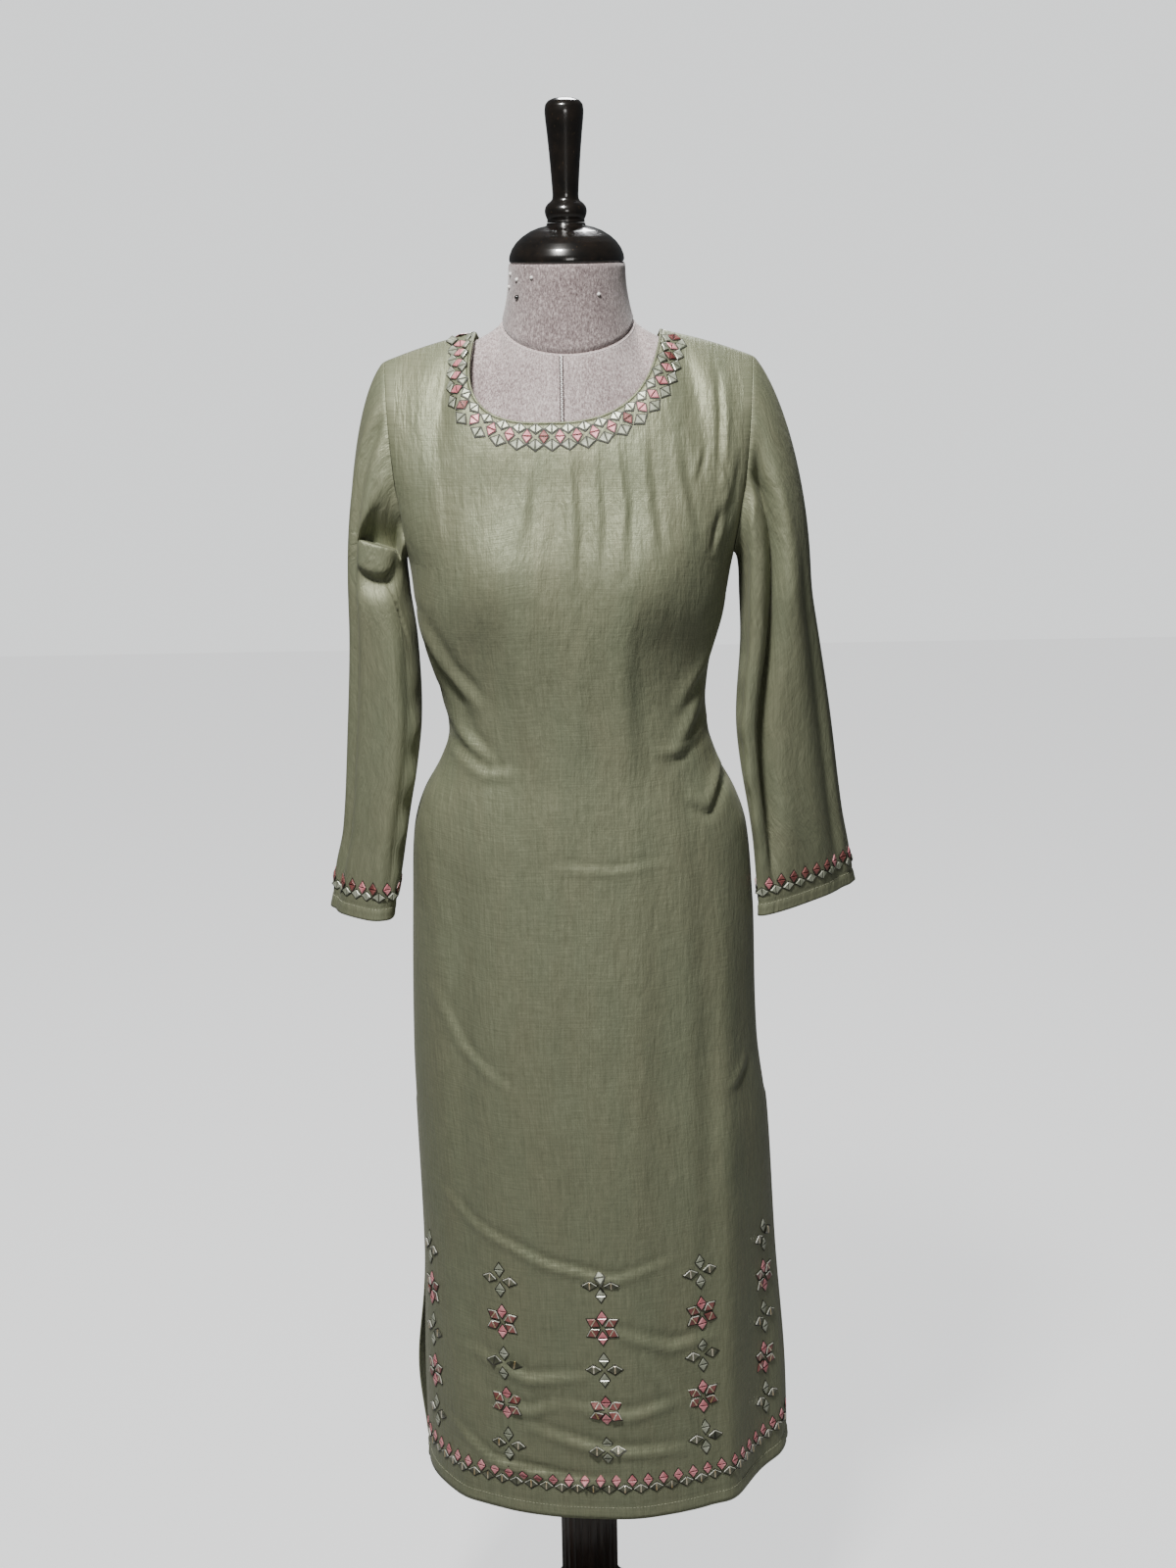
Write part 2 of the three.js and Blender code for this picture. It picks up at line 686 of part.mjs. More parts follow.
function columnGeometry() {
  const shape = new THREE.Shape();
  const steps = FLUTES * 4;
  for (let i = 0; i < steps; i += 1) {
    const angle = (i / steps) * Math.PI * 2;
    const radius = COLUMN_RADIUS - FLUTE_DEPTH * Math.abs(Math.sin(angle * FLUTES / 2));
    const x = radius * Math.cos(angle);
    const y = radius * Math.sin(angle);
    if (i === 0) {
      shape.moveTo(x, y);
    } else {
      shape.lineTo(x, y);
    }
  }
  shape.closePath();
  const foot = FOOT_BLOCK_TOP_Z + SEAM_GAP;
  const depth = FORM_BOTTOM_Z - SEAM_GAP - foot;
  const geometry = new THREE.ExtrudeGeometry(shape, { depth, bevelEnabled: false });
  geometry.translate(0, 0, foot);
  return geometry;
}

function legGeometry(azimuth) {
  const shape = new THREE.Shape();
  shape.moveTo(LEG_ROOT_X, 28);
  shape.lineTo(LEG_ROOT_X, 68);
  shape.quadraticCurveTo(170, 62, LEG_REACH - 40, 30);
  shape.quadraticCurveTo(LEG_REACH, 26, LEG_REACH, 10);
  shape.lineTo(LEG_REACH, 0);
  shape.lineTo(LEG_REACH - 50, 0);
  shape.quadraticCurveTo(170, 26, LEG_ROOT_X, 28);
  const geometry = new THREE.ExtrudeGeometry(shape, {
    depth: LEG_WIDTH, bevelEnabled: false, curveSegments: 8,
  });
  geometry.translate(0, 0, -LEG_WIDTH / 2);
  geometry.rotateX(Math.PI / 2);
  geometry.rotateZ(azimuth);
  return geometry;
}

// ---------------------------------------------------------------- the whole object

const SAGE = 0x8a8f72;
const JERSEY = 0xb9aaa8;
const LACQUER = 0x17120f;
const DARK_WOOD = 0x1c120c;

const object = new THREE.Group();

const tunic = new THREE.Group();
tunic.add(makeMesh('front_panel', panelGeometry(-1), SAGE, 0.55, 0));
tunic.add(makeMesh('back_panel', panelGeometry(1), SAGE, 0.55, 0));
tunic.add(makeMesh('sleeve_left', sleeveGeometry(-1), SAGE, 0.55, 0));
tunic.add(makeMesh('sleeve_right', sleeveGeometry(1), SAGE, 0.55, 0));
tunic.add(makeMesh('neck_binding', bindingGeometry(), SAGE, 0.6, 0));
object.add(tunic);

const form = new THREE.Group();
form.add(makeMesh('form_torso', torsoGeometry(), JERSEY, 0.9, 0));
form.add(makeMesh('form_neck', neckGeometry(), JERSEY, 0.9, 0));
form.add(makeMesh('neck_cap', turned(CAP_PROFILE, 40), LACQUER, 0.2, 0));
form.add(makeMesh('cap_handle', turned(HANDLE_PROFILE, 28), LACQUER, 0.2, 0));
object.add(form);

const stand = new THREE.Group();
stand.add(makeMesh('stand_column', columnGeometry(), DARK_WOOD, 0.45, 0));
stand.add(makeMesh('foot_block', turned(FOOT_BLOCK_PROFILE, 40), DARK_WOOD, 0.45, 0));
const LEG_AZIMUTHS = [90, 210, 330];
LEG_AZIMUTHS.forEach((degrees, i) => {
  const azimuth = THREE.MathUtils.degToRad(degrees);
  stand.add(makeMesh(`stand_leg_${i + 1}`, legGeometry(azimuth), DARK_WOOD, 0.45, 0));
});
object.add(stand);

export default object;
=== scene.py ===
# %% [markdown]
# # A long beaded tunic on a dress form
# The object is a calf-length silk-look tunic, worn by a limbless form on a fluted column. The design
# already exists as a plain CAD model, so this lesson dresses it: every piece below is made around
# that frame, in metres, with +Z up and the front of the garment towards -Y.

# %% Load the frame
import math
import random

import bmesh
import bpy
import numpy as np
from mathutils import Matrix, Vector
from mathutils.bvhtree import BVHTree


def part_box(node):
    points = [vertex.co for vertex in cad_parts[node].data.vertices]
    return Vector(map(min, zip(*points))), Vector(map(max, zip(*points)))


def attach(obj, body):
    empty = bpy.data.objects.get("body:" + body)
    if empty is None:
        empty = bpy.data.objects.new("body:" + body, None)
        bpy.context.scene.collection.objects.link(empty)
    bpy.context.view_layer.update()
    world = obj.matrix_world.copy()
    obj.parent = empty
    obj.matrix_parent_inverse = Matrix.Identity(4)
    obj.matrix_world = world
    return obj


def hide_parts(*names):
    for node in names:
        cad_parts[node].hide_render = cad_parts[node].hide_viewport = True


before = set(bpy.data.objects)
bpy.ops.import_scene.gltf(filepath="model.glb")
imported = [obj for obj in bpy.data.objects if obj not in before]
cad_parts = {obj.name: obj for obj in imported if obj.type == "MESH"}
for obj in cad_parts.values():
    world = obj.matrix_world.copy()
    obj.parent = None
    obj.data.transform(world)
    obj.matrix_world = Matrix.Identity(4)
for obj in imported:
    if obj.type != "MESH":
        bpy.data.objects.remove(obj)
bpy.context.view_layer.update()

MM = 0.001
SAME_PLACE = 1e-6

# %% [markdown]
# ## The camera
# The garment is looked at from a little above and straight in front, as a shopper sees it on its
# stand. A 54 mm lens from about 2.3 m keeps the perspective natural: the hem is seen from above and
# its sides climb as they turn back. A camera could come last, but here it comes first, so that every
# later step can be judged through it.

# %% Place the camera
CAMERA_DISTANCE = 2.3
CAMERA_HEIGHT = 1.562
CAMERA_ASIDE = 0.012
CAMERA_TILT = math.radians(14)
CAMERA_ROLL = math.radians(-0.96)
LENS = 54
SENSOR = 36

camera = bpy.data.objects.new("camera", bpy.data.cameras.new("camera"))
bpy.context.scene.collection.objects.link(camera)
camera.data.lens = LENS
camera.data.sensor_width = SENSOR
camera.data.clip_end = 50
aim = Matrix.Rotation(math.pi / 2 - CAMERA_TILT, 4, "X") @ Matrix.Rotation(CAMERA_ROLL, 4, "Z")
camera.matrix_world = Matrix.Translation((CAMERA_ASIDE, -CAMERA_DISTANCE, CAMERA_HEIGHT)) @ aim
bpy.context.scene.camera = camera
print("camera at", tuple(round(v, 3) for v in camera.location))

# %% [markdown]
# ## Small helpers for meshes
# Each piece ends as one mesh whose object sits at the origin. A flat grid made by `create_grid` is
# the start of every sheet: its points are then carried to their places on the body, row by row. A
# sheet could be sculpted by hand instead, but a grid keeps even rows, along which threads, seams and
# beads can run.

# %% Turn a bmesh into a piece
def finish_piece(name, bm, material, smooth=True):
    """Writes a bmesh into a new object at the origin, gives it its finish and fastens it to the body."""
    mesh = bpy.data.meshes.new(name)
    bm.to_mesh(mesh)
    bm.free()
    for polygon in mesh.polygons:
        polygon.use_smooth = smooth
    mesh.materials.append(material)
    piece = bpy.data.objects.new(name, mesh)
    bpy.context.scene.collection.objects.link(piece)
    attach(piece, "root")
    return piece


print("body that every piece rides on: root")

# %% A sheet from a grid of points
def unit(vectors):
    length = np.linalg.norm(vectors, axis=-1, keepdims=True)
    return vectors / np.maximum(length, 1e-9)


def lengths_along(points, axis=0):
    """Length walked over a path or a grid of points along one axis, from its first point."""
    steps = np.linalg.norm(np.diff(points, axis=axis), axis=-1)
    start = np.zeros_like(np.take(steps, [0], axis=axis))
    return np.concatenate([start, np.cumsum(steps, axis=axis)], axis=axis)


def grid_normals(points, loop=False):
    """Unit normals of a grid of points, to the right-hand side of columns crossed with rows."""
    along = np.gradient(points, axis=1)
    if loop:
        along = (np.roll(points, -1, axis=1) - np.roll(points, 1, axis=1)) / 2
    up = np.gradient(points, axis=0)
    return unit(np.cross(along, up))


def sheet_mesh(points, loop=False, flip=False, straight_above=None):
    """A bmesh of quads through a grid of points in millimetres, with a UV map in metres of cloth.

    Above the row straight_above the threads of the cloth keep running straight up.
    """
    wrapped = np.concatenate([points, points[:, :1]], axis=1) if loop else points
    rows, across = wrapped.shape[:2]
    bm = bmesh.new()
    bmesh.ops.create_grid(bm, x_segments=across - 1, y_segments=rows - 1, size=0.5)
    order = sorted(bm.verts, key=lambda v: (round(v.co.y, 6), round(v.co.x, 6)))
    along, height = lengths_along(wrapped, 1), lengths_along(wrapped, 0)
    along -= along[:, across // 2:across // 2 + 1]
    if straight_above:
        line = wrapped[straight_above]
        for r in range(straight_above + 1, rows):
            along[r] = np.interp(wrapped[r, :, 0], line[:, 0], along[straight_above])
            height[r] = height[straight_above].mean() + wrapped[r, :, 2] - line[:, 2].mean()
    uv_of = {}
    for i, vert in enumerate(order):
        r, c = divmod(i, across)
        vert.co = Vector(wrapped[r, c]) * MM
        uv_of[vert] = (along[r, c] * MM, height[r, c] * MM)
    layer = bm.loops.layers.uv.new("cloth")
    for face in bm.faces:
        for corner in face.loops:
            corner[layer].uv = uv_of[corner.vert]
    if loop:
        bmesh.ops.remove_doubles(bm, verts=bm.verts, dist=SAME_PLACE)
    if flip:
        bmesh.ops.reverse_faces(bm, faces=bm.faces)
    return bm


print("a walk of two 3, 4 steps is", lengths_along(np.array([(0, 0, 0), (3, 4, 0), (6, 8, 0)]))[-1], "long")

# %% Curves and blends
def read_keys(keys, z, column):
    """Reads one column of a table of keys at height z, as a smooth curve through its values."""
    table = np.array(sorted(keys))
    heights, values = table[:, 0], table[:, column]
    last = len(table) - 1
    before = np.maximum(np.arange(last + 1) - 1, 0)
    after = np.minimum(np.arange(last + 1) + 1, last)
    slopes = (values[after] - values[before]) / (heights[after] - heights[before])
    z = np.clip(np.asarray(z, float), heights[0], heights[-1])
    k = np.clip(np.searchsorted(heights, z) - 1, 0, last - 1)
    span = heights[k + 1] - heights[k]
    t = (z - heights[k]) / span
    return ((2 * t**3 - 3 * t**2 + 1) * values[k] + (t**3 - 2 * t**2 + t) * span * slopes[k]
            + (3 * t**2 - 2 * t**3) * values[k + 1] + (t**3 - t**2) * span * slopes[k + 1])


def bump(distance, width):
    return np.exp(-((distance / width) ** 2))


def smooth_step(low, high, value):
    t = np.clip((value - low) / (high - low), 0, 1)
    return t * t * (3 - 2 * t)


def mix(a, b, t):
    return a + (b - a) * t


def bezier(p0, p1, p2, p3, t):
    s = 1 - t
    return s**3 * p0 + 3 * s * s * t * p1 + 3 * s * t * t * p2 + t**3 * p3


print("a smooth step a quarter of the way:", round(float(smooth_step(0, 1, 0.25)), 3))

# %% [markdown]
# ## The cut of the tunic
# A maker would cut one front, one back and two sleeves. On the body each panel is a stack of
# sections, from the hem up to the chest, and above that its columns bend over the shoulder to the
# shoulder seam or end at the neckline. The numbers are millimetres and repeat the frame's own sizes,
# so the fine cloth lies exactly where the plain solids are.

# %% Sizes of the panels
HEM_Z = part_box("front_panel")[0][2] / MM
HEM_LIFT = 16
SLIT_TOP_Z = 660
SLIT_OPEN = 14
BACK_FLARE = 8
ARMPIT_Z = 1222
CHEST_Z = 1290
ARMHOLE_SHARE = 0.75
NECK_X = 91
NECK_SIDE_Z = 1438
NECK_FRONT = (-77, 1356)
NECK_BACK = (66, 1402)
NECK_ROUNDNESS = 0.55
NECK_SQUARENESS = 2.75
NECK_LEAN = -19
NECK_COLUMNS = 7 / 12
SHOULDER_TIP = (178, 1412)
FRONT, BACK = -1, 1
LEFT, RIGHT = -1, 1

# Height, left side, right side, depth of front and of back, squareness of the section.
BODY_KEYS = [
    (250, -170, 214, 145, 140, 2.1),
    (359, -171, 211, 140, 136, 2.1),
    (486, -168, 201, 135, 132, 2.15),
    (641, -171, 192, 130, 128, 2.2),
    (724, -172, 182, 126, 125, 2.2),
    (874, -168, 177, 118, 121, 2.25),
    (948, -164, 171, 114, 114, 2.25),
    (982, -155, 160, 112, 106, 2.25),
    (1019, -135, 140, 110, 96, 2.3),
    (1047, -126, 133, 110, 90, 2.3),
    (1089, -131, 131, 112, 87, 2.35),
    (1139, -148, 140, 117, 88, 2.4),
    (1180, -155, 150, 119, 91, 2.5),
    (1222, -160, 158, 116, 92, 2.5),
    (1256, -170, 169, 108, 90, 2.6),
    (1290, -178, 178, 98, 86, 2.6),
]
print("hem at", round(HEM_Z), "mm above the floor")

# %% Points of a panel on the body
def section_points(keys, side, z, shares):
    """Points of one horizontal section. shares run from -1 (left side) to 1 (right side)."""
    left, right = read_keys(keys, z, 1), read_keys(keys, z, 2)
    depth = read_keys(keys, z, 3 if side == FRONT else 4)
    power = 2 / read_keys(keys, z, 5)
    angle = shares * math.pi / 2
    across = np.sign(angle) * np.abs(np.sin(angle)) ** power
    forward = np.maximum(np.cos(angle), 0) ** power
    x = (left + right) / 2 + across * (right - left) / 2
    return np.stack([x, side * depth * forward, np.broadcast_to(z, x.shape)], axis=-1)


def cloth_relief(side, x, z):
    """How far the worn cloth stands out (+) or in (-) of its plain section: its largest folds."""
    skirt = smooth_step(1000, 760, z)
    rise = (z - HEM_Z) / 700
    right_fold = 6 * bump(x - mix(152, 146, rise), 14) * skirt
    behind_fold = -26 * bump(x - 188, 26) * smooth_step(760, 300, z)
    left_fold = 4 * bump(x + mix(128, 140, rise), 16) * skirt
    if side == BACK:
        small = 4 * bump(x, 30) * skirt - 6 * bump(x, 40) * bump(z - 1090, 70)
        return right_fold + left_fold + small
    middle_fold = 3 * bump(x - mix(48, 20, rise), 34) * skirt
    bust = 9 * (bump(x - 76, 44) + bump(x + 76, 44)) * bump(z - 1214, 48)
    under_bust = -9 * (bump(x - 92, 30) + bump(x + 92, 30)) * bump(z - 1122, 58)
    return bust + under_bust + right_fold + behind_fold + left_fold + middle_fold


def lower_points(side, shares, z, squeeze):
    """Points of a panel between the hem and the chest."""
    points = section_points(BODY_KEYS, side, z, shares * squeeze)
    relief = cloth_relief(side, points[..., 0], points[..., 2]) * (1 - np.abs(shares) ** 6)
    points[..., 1] += side * relief
    fall = np.clip((SLIT_TOP_Z - points[..., 2]) / (SLIT_TOP_Z - HEM_Z), 0, 1)
    edge = np.abs(shares) ** 8
    points[..., 1] += side * SLIT_OPEN * fall * fall * edge / 2
    if side == BACK:
        points[..., 0] -= BACK_FLARE * bump(points[..., 2] - 350, 70) * edge * (shares < 0)
    return points


def top_points(side, shares):
    """The neckline in the middle and the shoulder seams outside it."""
    amount, hand = np.abs(shares), np.where(shares < 0, -1, 1)
    neck_y, neck_z = NECK_FRONT if side == FRONT else NECK_BACK
    angle = np.clip(amount / NECK_COLUMNS, 0, 1) * math.pi / 2
    power = 2 / NECK_SQUARENESS if side == FRONT else 1
    depth = np.maximum(np.cos(angle), 0) ** power
    lean = NECK_LEAN * depth if side == FRONT else 0
    out = np.clip((amount - NECK_COLUMNS) / (1 - NECK_COLUMNS), 0, 1)
    on_neck = amount <= NECK_COLUMNS
    neck_x = NECK_X * np.sin(angle) ** power + hand * lean
    x = np.where(on_neck, neck_x, mix(NECK_X, SHOULDER_TIP[0], out))
    y = np.where(on_neck, neck_y * depth**NECK_ROUNDNESS, 0)
    ridge = mix(NECK_SIDE_Z, SHOULDER_TIP[1], out) + 2 * np.sin(math.pi * out)
    z = np.where(on_neck, NECK_SIDE_Z - (NECK_SIDE_Z - neck_z) * depth, ridge)
    return np.stack([hand * x, y, z], axis=-1)


def upper_points(side, shares, t):
    """Points between the chest (t = 0) and the top of a panel (t = 1)."""
    amount, hand = np.abs(shares), np.where(shares < 0, -1, 1)
    start = lower_points(side, shares, CHEST_Z, ARMHOLE_SHARE)
    end = top_points(side, shares)
    rise = end[..., 2] - start[..., 2]
    beside = np.sin(np.clip(amount / NECK_COLUMNS, 0, 1) * math.pi / 2)
    past_neck = np.clip((amount - NECK_COLUMNS) / (1 - NECK_COLUMNS), 0, 1)
    on_shoulder = smooth_step(0, 0.35, past_neck)
    at_hole = smooth_step(NECK_COLUMNS, 1, amount)
    inward = mix(mix(0.11, 0.05, beside), -0.03, at_hole)
    lean = np.stack([hand * 5 * at_hole, -side * rise * inward, rise * 0.36], axis=-1)
    outward = 24 * beside**1.5 * (1 - past_neck) ** 3 - 2 * at_hole
    back = mix(12, rise * mix(0.36, 0.3, at_hole), on_shoulder)
    down = mix(mix(20, 11, beside), rise * mix(0.1, 0.2, at_hole), on_shoulder)
    pull = np.stack([hand * outward, side * back, -down], axis=-1)
    return bezier(start, start + lean, end + pull, end, t)


print("waist", round(read_keys(BODY_KEYS, 1047, 2) - read_keys(BODY_KEYS, 1047, 1)), "mm wide")

# %% [markdown]
# ## Folds and creases
# A worn cloth is never smooth. Its folds are placed one by one, each as a path on the panel with a
# width and a height: a ridge where the cloth is pushed up, a trough where it is pulled in. Simulating
# the cloth could give folds too, but not these ones, so the listed way was chosen. A crease is
# written as its path of (across, height) points, its width, its height and its shade.

# %% The crease tool
def crease(x, z, path, width, height, shade=0.0):
    """Height of one crease at the points (x, z). shade adds an opposite trough beside the ridge."""
    path = np.array(path, float)
    lengths = np.linalg.norm(np.diff(path, axis=0), axis=1)
    total, walked = lengths.sum(), 0.0
    nearest = np.full(x.shape, 1e9)
    signed = np.zeros_like(x)
    place = np.zeros_like(x)
    for (ax, az), (bx, bz), length in zip(path[:-1], path[1:], lengths):
        t = np.clip(((x - ax) * (bx - ax) + (z - az) * (bz - az)) / length**2, 0, 1)
        dx, dz = x - (ax + t * (bx - ax)), z - (az + t * (bz - az))
        distance = np.hypot(dx, dz)
        cross = np.sign((bx - ax) * dz - (bz - az) * dx)
        closer = distance < nearest
        nearest = np.where(closer, distance, nearest)
        signed = np.where(closer, cross * distance, signed)
        place = np.where(closer, (walked + t * length) / total, place)
        walked += length
    fade = np.sin(math.pi * np.clip(0.04 + 0.92 * place, 0, 1)) ** 0.7
    result = height * bump(nearest, width)
    if shade:
        result -= height * shade * bump(signed - 1.7 * width, width)
    return result * fade


def swelling(x, z, rng, wide, tall, height):
    """One faint swelling of the cloth at a drawn place."""
    cx, cz = rng.uniform(-200, 220), rng.uniform(260, 1340)
    lean = rng.uniform(-0.25, 0.25)
    across = (x - cx) + lean * (z - cz)
    size = rng.uniform(0.6, 1.4)
    return rng.uniform(-height, height) * bump(across, wide * size) * bump(z - cz, tall * size)


def soft_noise(x, z, seed, count, wide, tall, height):
    """Many faint swellings of one size, placed by a seeded draw: the give of a thin cloth."""
    rng = np.random.default_rng(seed)
    return sum(swelling(x, z, rng, wide, tall, height) for _ in range(count))


trial = crease(np.zeros(1), np.zeros(1), [(0, -10), (0, 10)], 5, 2)
print("a crease 2 mm high measures", trial.round(2), "mm at its middle")

# %% Creases of the front
FRONT_CREASES = [
    # soft vertical falls under the neckline
    ([(-2, 1330), (2, 1262), (-2, 1206)], 5, 2.4, 0.6),
    ([(22, 1328), (26, 1270), (22, 1212)], 4, 2.2, 0.7),
    ([(44, 1335), (50, 1280), (46, 1222)], 4.5, 2.8, 0.7),
    ([(68, 1342), (72, 1290), (78, 1236)], 5, 2.6, 0.6),
    ([(98, 1340), (104, 1296), (114, 1250)], 5, 2.2, 0.8),
    ([(-40, 1318), (-46, 1250)], 5, 1.6, 0.6),
    ([(-92, 1330), (-98, 1290), (-108, 1250)], 5, 1.2, 0.6),
    ([(-128, 1320), (-126, 1280), (-122, 1246)], 4, 1.2, 0.6),
    # the deep fall from the right shoulder and the puckers beside it
    ([(143, 1400), (144, 1356), (141, 1302)], 3.2, -3.4, 0.6),
    ([(124, 1332), (116, 1302)], 3, 1.8, 1.0),
    ([(140, 1318), (148, 1292)], 3, 2.0, 1.0),
    ([(142, 1272), (134, 1234)], 3, -3.4, 0.4),
    ([(156, 1330), (150, 1290), (138, 1262)], 5, 2.2, 0.5),
    # pulls into the waist
    ([(-150, 1166), (-122, 1118), (-92, 1088)], 6, 3.4, 0.8),
    ([(-142, 1128), (-118, 1082), (-96, 1040)], 6, 2.8, 0.8),
    ([(-132, 1090), (-112, 1058), (-78, 1032)], 5, 2.4, 0.8),
    ([(148, 1176), (124, 1122), (100, 1084)], 6, 3.8, 0.8),
    ([(140, 1140), (122, 1098), (106, 1060)], 5, 2.6, 0.8),
    ([(136, 1108), (116, 1070), (92, 1036)], 6, 3.0, 0.8),
    ([(-126, 1040), (-88, 1020), (-60, 1024)], 5, 2.4, 0.8),
    ([(128, 1046), (142, 1012), (128, 984), (110, 996)], 5, 3.8, 0.9),
    ([(132, 1062), (104, 1040), (78, 1042)], 5, 2.2, 0.6),
    # the loose middle below the bust
    ([(-54, 1170), (-48, 1110), (-40, 1030)], 11, 2.6, 0.5),
    ([(48, 1172), (46, 1110), (52, 1020)], 11, 3.0, 0.5),
    ([(-4, 1150), (2, 1090), (0, 1020)], 12, 1.8, 0.4),
    # long soft falls of the skirt
    ([(-74, 1000), (-70, 820), (-82, 560)], 12, 1.6, 0.5),
    ([(-24, 980), (-30, 760), (-24, 470)], 13, 1.4, 0.5),
    ([(54, 1000), (60, 800), (56, 520)], 12, 1.5, 0.5),
    ([(102, 960), (110, 760), (112, 480)], 10, 1.8, 0.5),
    ([(-116, 980), (-121, 760), (-126, 520), (-120, 400)], 17, -4.5, 0.3),
    # creases across it, from lying folded
    ([(-24, 933), (34, 928), (84, 934)], 3.2, 1.5, 0.9),
    ([(-146, 800), (-120, 744), (-72, 706)], 4.5, 2.2, 0.8),
    ([(-144, 586), (-116, 560), (-40, 524), (30, 508), (86, 524)], 4, 2.6, 0.9),
    ([(166, 716), (150, 694)], 4, 2.2, 0.6),
    ([(-140, 330), (-100, 300), (0, 288), (24, 290)], 4, 3.6, 0.9),
    ([(-60, 344), (20, 322), (104, 318)], 5, 3.2, 0.8),
    ([(-118, 420), (-60, 396), (0, 404)], 5.5, 3.0, 0.7),
    ([(30, 452), (86, 430), (132, 436)], 5.5, 3.0, 0.7),
    ([(-20, 372), (44, 360), (96, 372)], 5.5, 2.8, 0.7),
    ([(60, 420), (96, 372), (112, 330)], 7, 3.0, 0.8),
    ([(-96, 372), (-60, 360), (-30, 372)], 5, 2.4, 0.8),
]
print("creases in front:", len(FRONT_CREASES))

# %% Creases of the back
BACK_CREASES = [
    ([(-110, 1330), (-60, 1300), (0, 1292), (60, 1300), (110, 1330)], 9, 1.6, 0.5),
    ([(-118, 1240), (-70, 1200), (-30, 1190)], 8, 1.6, 0.5),
    ([(118, 1244), (74, 1206), (34, 1190)], 8, 1.8, 0.5),
    ([(-128, 1090), (-80, 1074), (-30, 1078)], 7, 2.2, 0.7),
    ([(128, 1096), (80, 1070), (30, 1076)], 7, 2.2, 0.7),
    ([(-124, 1050), (-70, 1036), (-20, 1044)], 6, 1.8, 0.7),
    ([(126, 1044), (84, 1030), (26, 1040)], 6, 1.8, 0.7),
    ([(-60, 1010), (-52, 900), (-56, 760)], 12, 2.0, 0.4),
    ([(64, 1010), (58, 880), (66, 700)], 12, 2.0, 0.4),
    ([(-140, 620), (-60, 560), (30, 548), (96, 570)], 6, 1.6, 0.6),
    ([(-100, 330), (0, 300), (90, 318)], 5, 1.5, 0.6),
    ([(40, 470), (110, 440), (160, 452)], 5, 1.2, 0.5),
]


def cloth_creases(side, x, z):
    total = np.zeros_like(x)
    for path, width, height, shade in FRONT_CREASES if side == FRONT else BACK_CREASES:
        total += crease(x, z, path, width, height, shade)
    return total


print("creases behind:", len(BACK_CREASES))

# %% [markdown]
# ## Front and back panels
# Both panels are the same kind of sheet: a grid with columns from side seam to side seam and rows
# from the hem to the neckline and shoulders. The last few millimetres at each seam are rolled in,
# because a sewn seam is a narrow valley; at the hem and slits the cloth is turned under, which makes
# the edge twice as thick. Where the columns start to bend at the chest and beside the neck, the grid
# is softened, or a hard line would show. Thickness comes last, from a Solidify modifier.

# %% Rows and columns of a panel
NECK_STEPS = 40
SHOULDER_STEPS = 28
LOWER_ROWS = 226
ARMHOLE_STEPS = 18
UPPER_STEPS = 40
SEAM_GAP = 0.3
SEAM_SINK = 0.45
SEAM_WIDTH = 2.6
TURNED_HEM = 12
TURNED_SLIT = 9
PANEL_SOFTENING = 34

inner_half = NECK_COLUMNS * (np.arange(NECK_STEPS + 1) / NECK_STEPS) ** 1.25
outer_half = 1 - (1 - NECK_COLUMNS) * (1 - np.arange(1, SHOULDER_STEPS + 1) / SHOULDER_STEPS) ** 1.25
half_shares = np.concatenate([inner_half, outer_half])
SHARES = np.concatenate([-half_shares[:0:-1], half_shares])
MIDDLE = len(half_shares) - 1


def plain_panel(side):
    """The whole panel as a grid of points in millimetres, before creases."""
    rows = []
    for r in range(LOWER_ROWS + 1):
        z = HEM_Z + (ARMPIT_Z - HEM_Z) * r / LOWER_ROWS
        lift = HEM_LIFT * np.clip(1 - (z - HEM_Z) / 300, 0, 1)
        raised = z + lift * np.where(SHARES > 0, SHARES, 0) ** 3
        rows.append(lower_points(side, SHARES, raised, 1))
    for r in range(1, ARMHOLE_STEPS + 1):
        w = r / ARMHOLE_STEPS * math.pi / 2
        z = ARMPIT_Z + (CHEST_Z - ARMPIT_Z) * (1 - math.cos(w))
        rows.append(lower_points(side, SHARES, z, 1 - (1 - ARMHOLE_SHARE) * math.sin(w)))
    for r in range(1, UPPER_STEPS + 1):
        rows.append(upper_points(side, SHARES, r / UPPER_STEPS))
    return np.array(rows)


print("points in a row:", len(SHARES))

# %% Edges of a panel
def edge_distances(points):
    """Distance of each point from the hem, the top and the nearer side edge, along the cloth."""
    above_hem, from_left = lengths_along(points, 0), lengths_along(points, 1)
    from_side = np.minimum(from_left, from_left[:, -1:] - from_left)
    return above_hem, above_hem[-1] - above_hem, from_side


def soften(points, where, rounds, loop=False):
    """Rounds off bends: each point moves towards the middle of its four neighbours on the grid."""
    points = points.copy()
    for _ in range(rounds):
        middle = (points[:-2] + points[2:]) / 2
        points[1:-1] += where[1:-1, :, None] * (middle - points[1:-1]) * 0.5
        if not loop:
            middle = (points[:, :-2] + points[:, 2:]) / 2
            points[:, 1:-1] += where[:, 1:-1, None] * (middle - points[:, 1:-1]) * 0.25
    return points


def turned_edge(distance, width):
    """A turned-under edge: a step up near the edge and a fine groove along its stitching."""
    step = 0.7 * smooth_step(width + 1.5, width - 1.5, distance)
    return step - 0.7 * bump(distance - width, 2.2) + 0.5 * bump(distance, 3)


print("step of a turned hem:", round(float(turned_edge(TURNED_HEM / 2, TURNED_HEM)), 2), "mm")

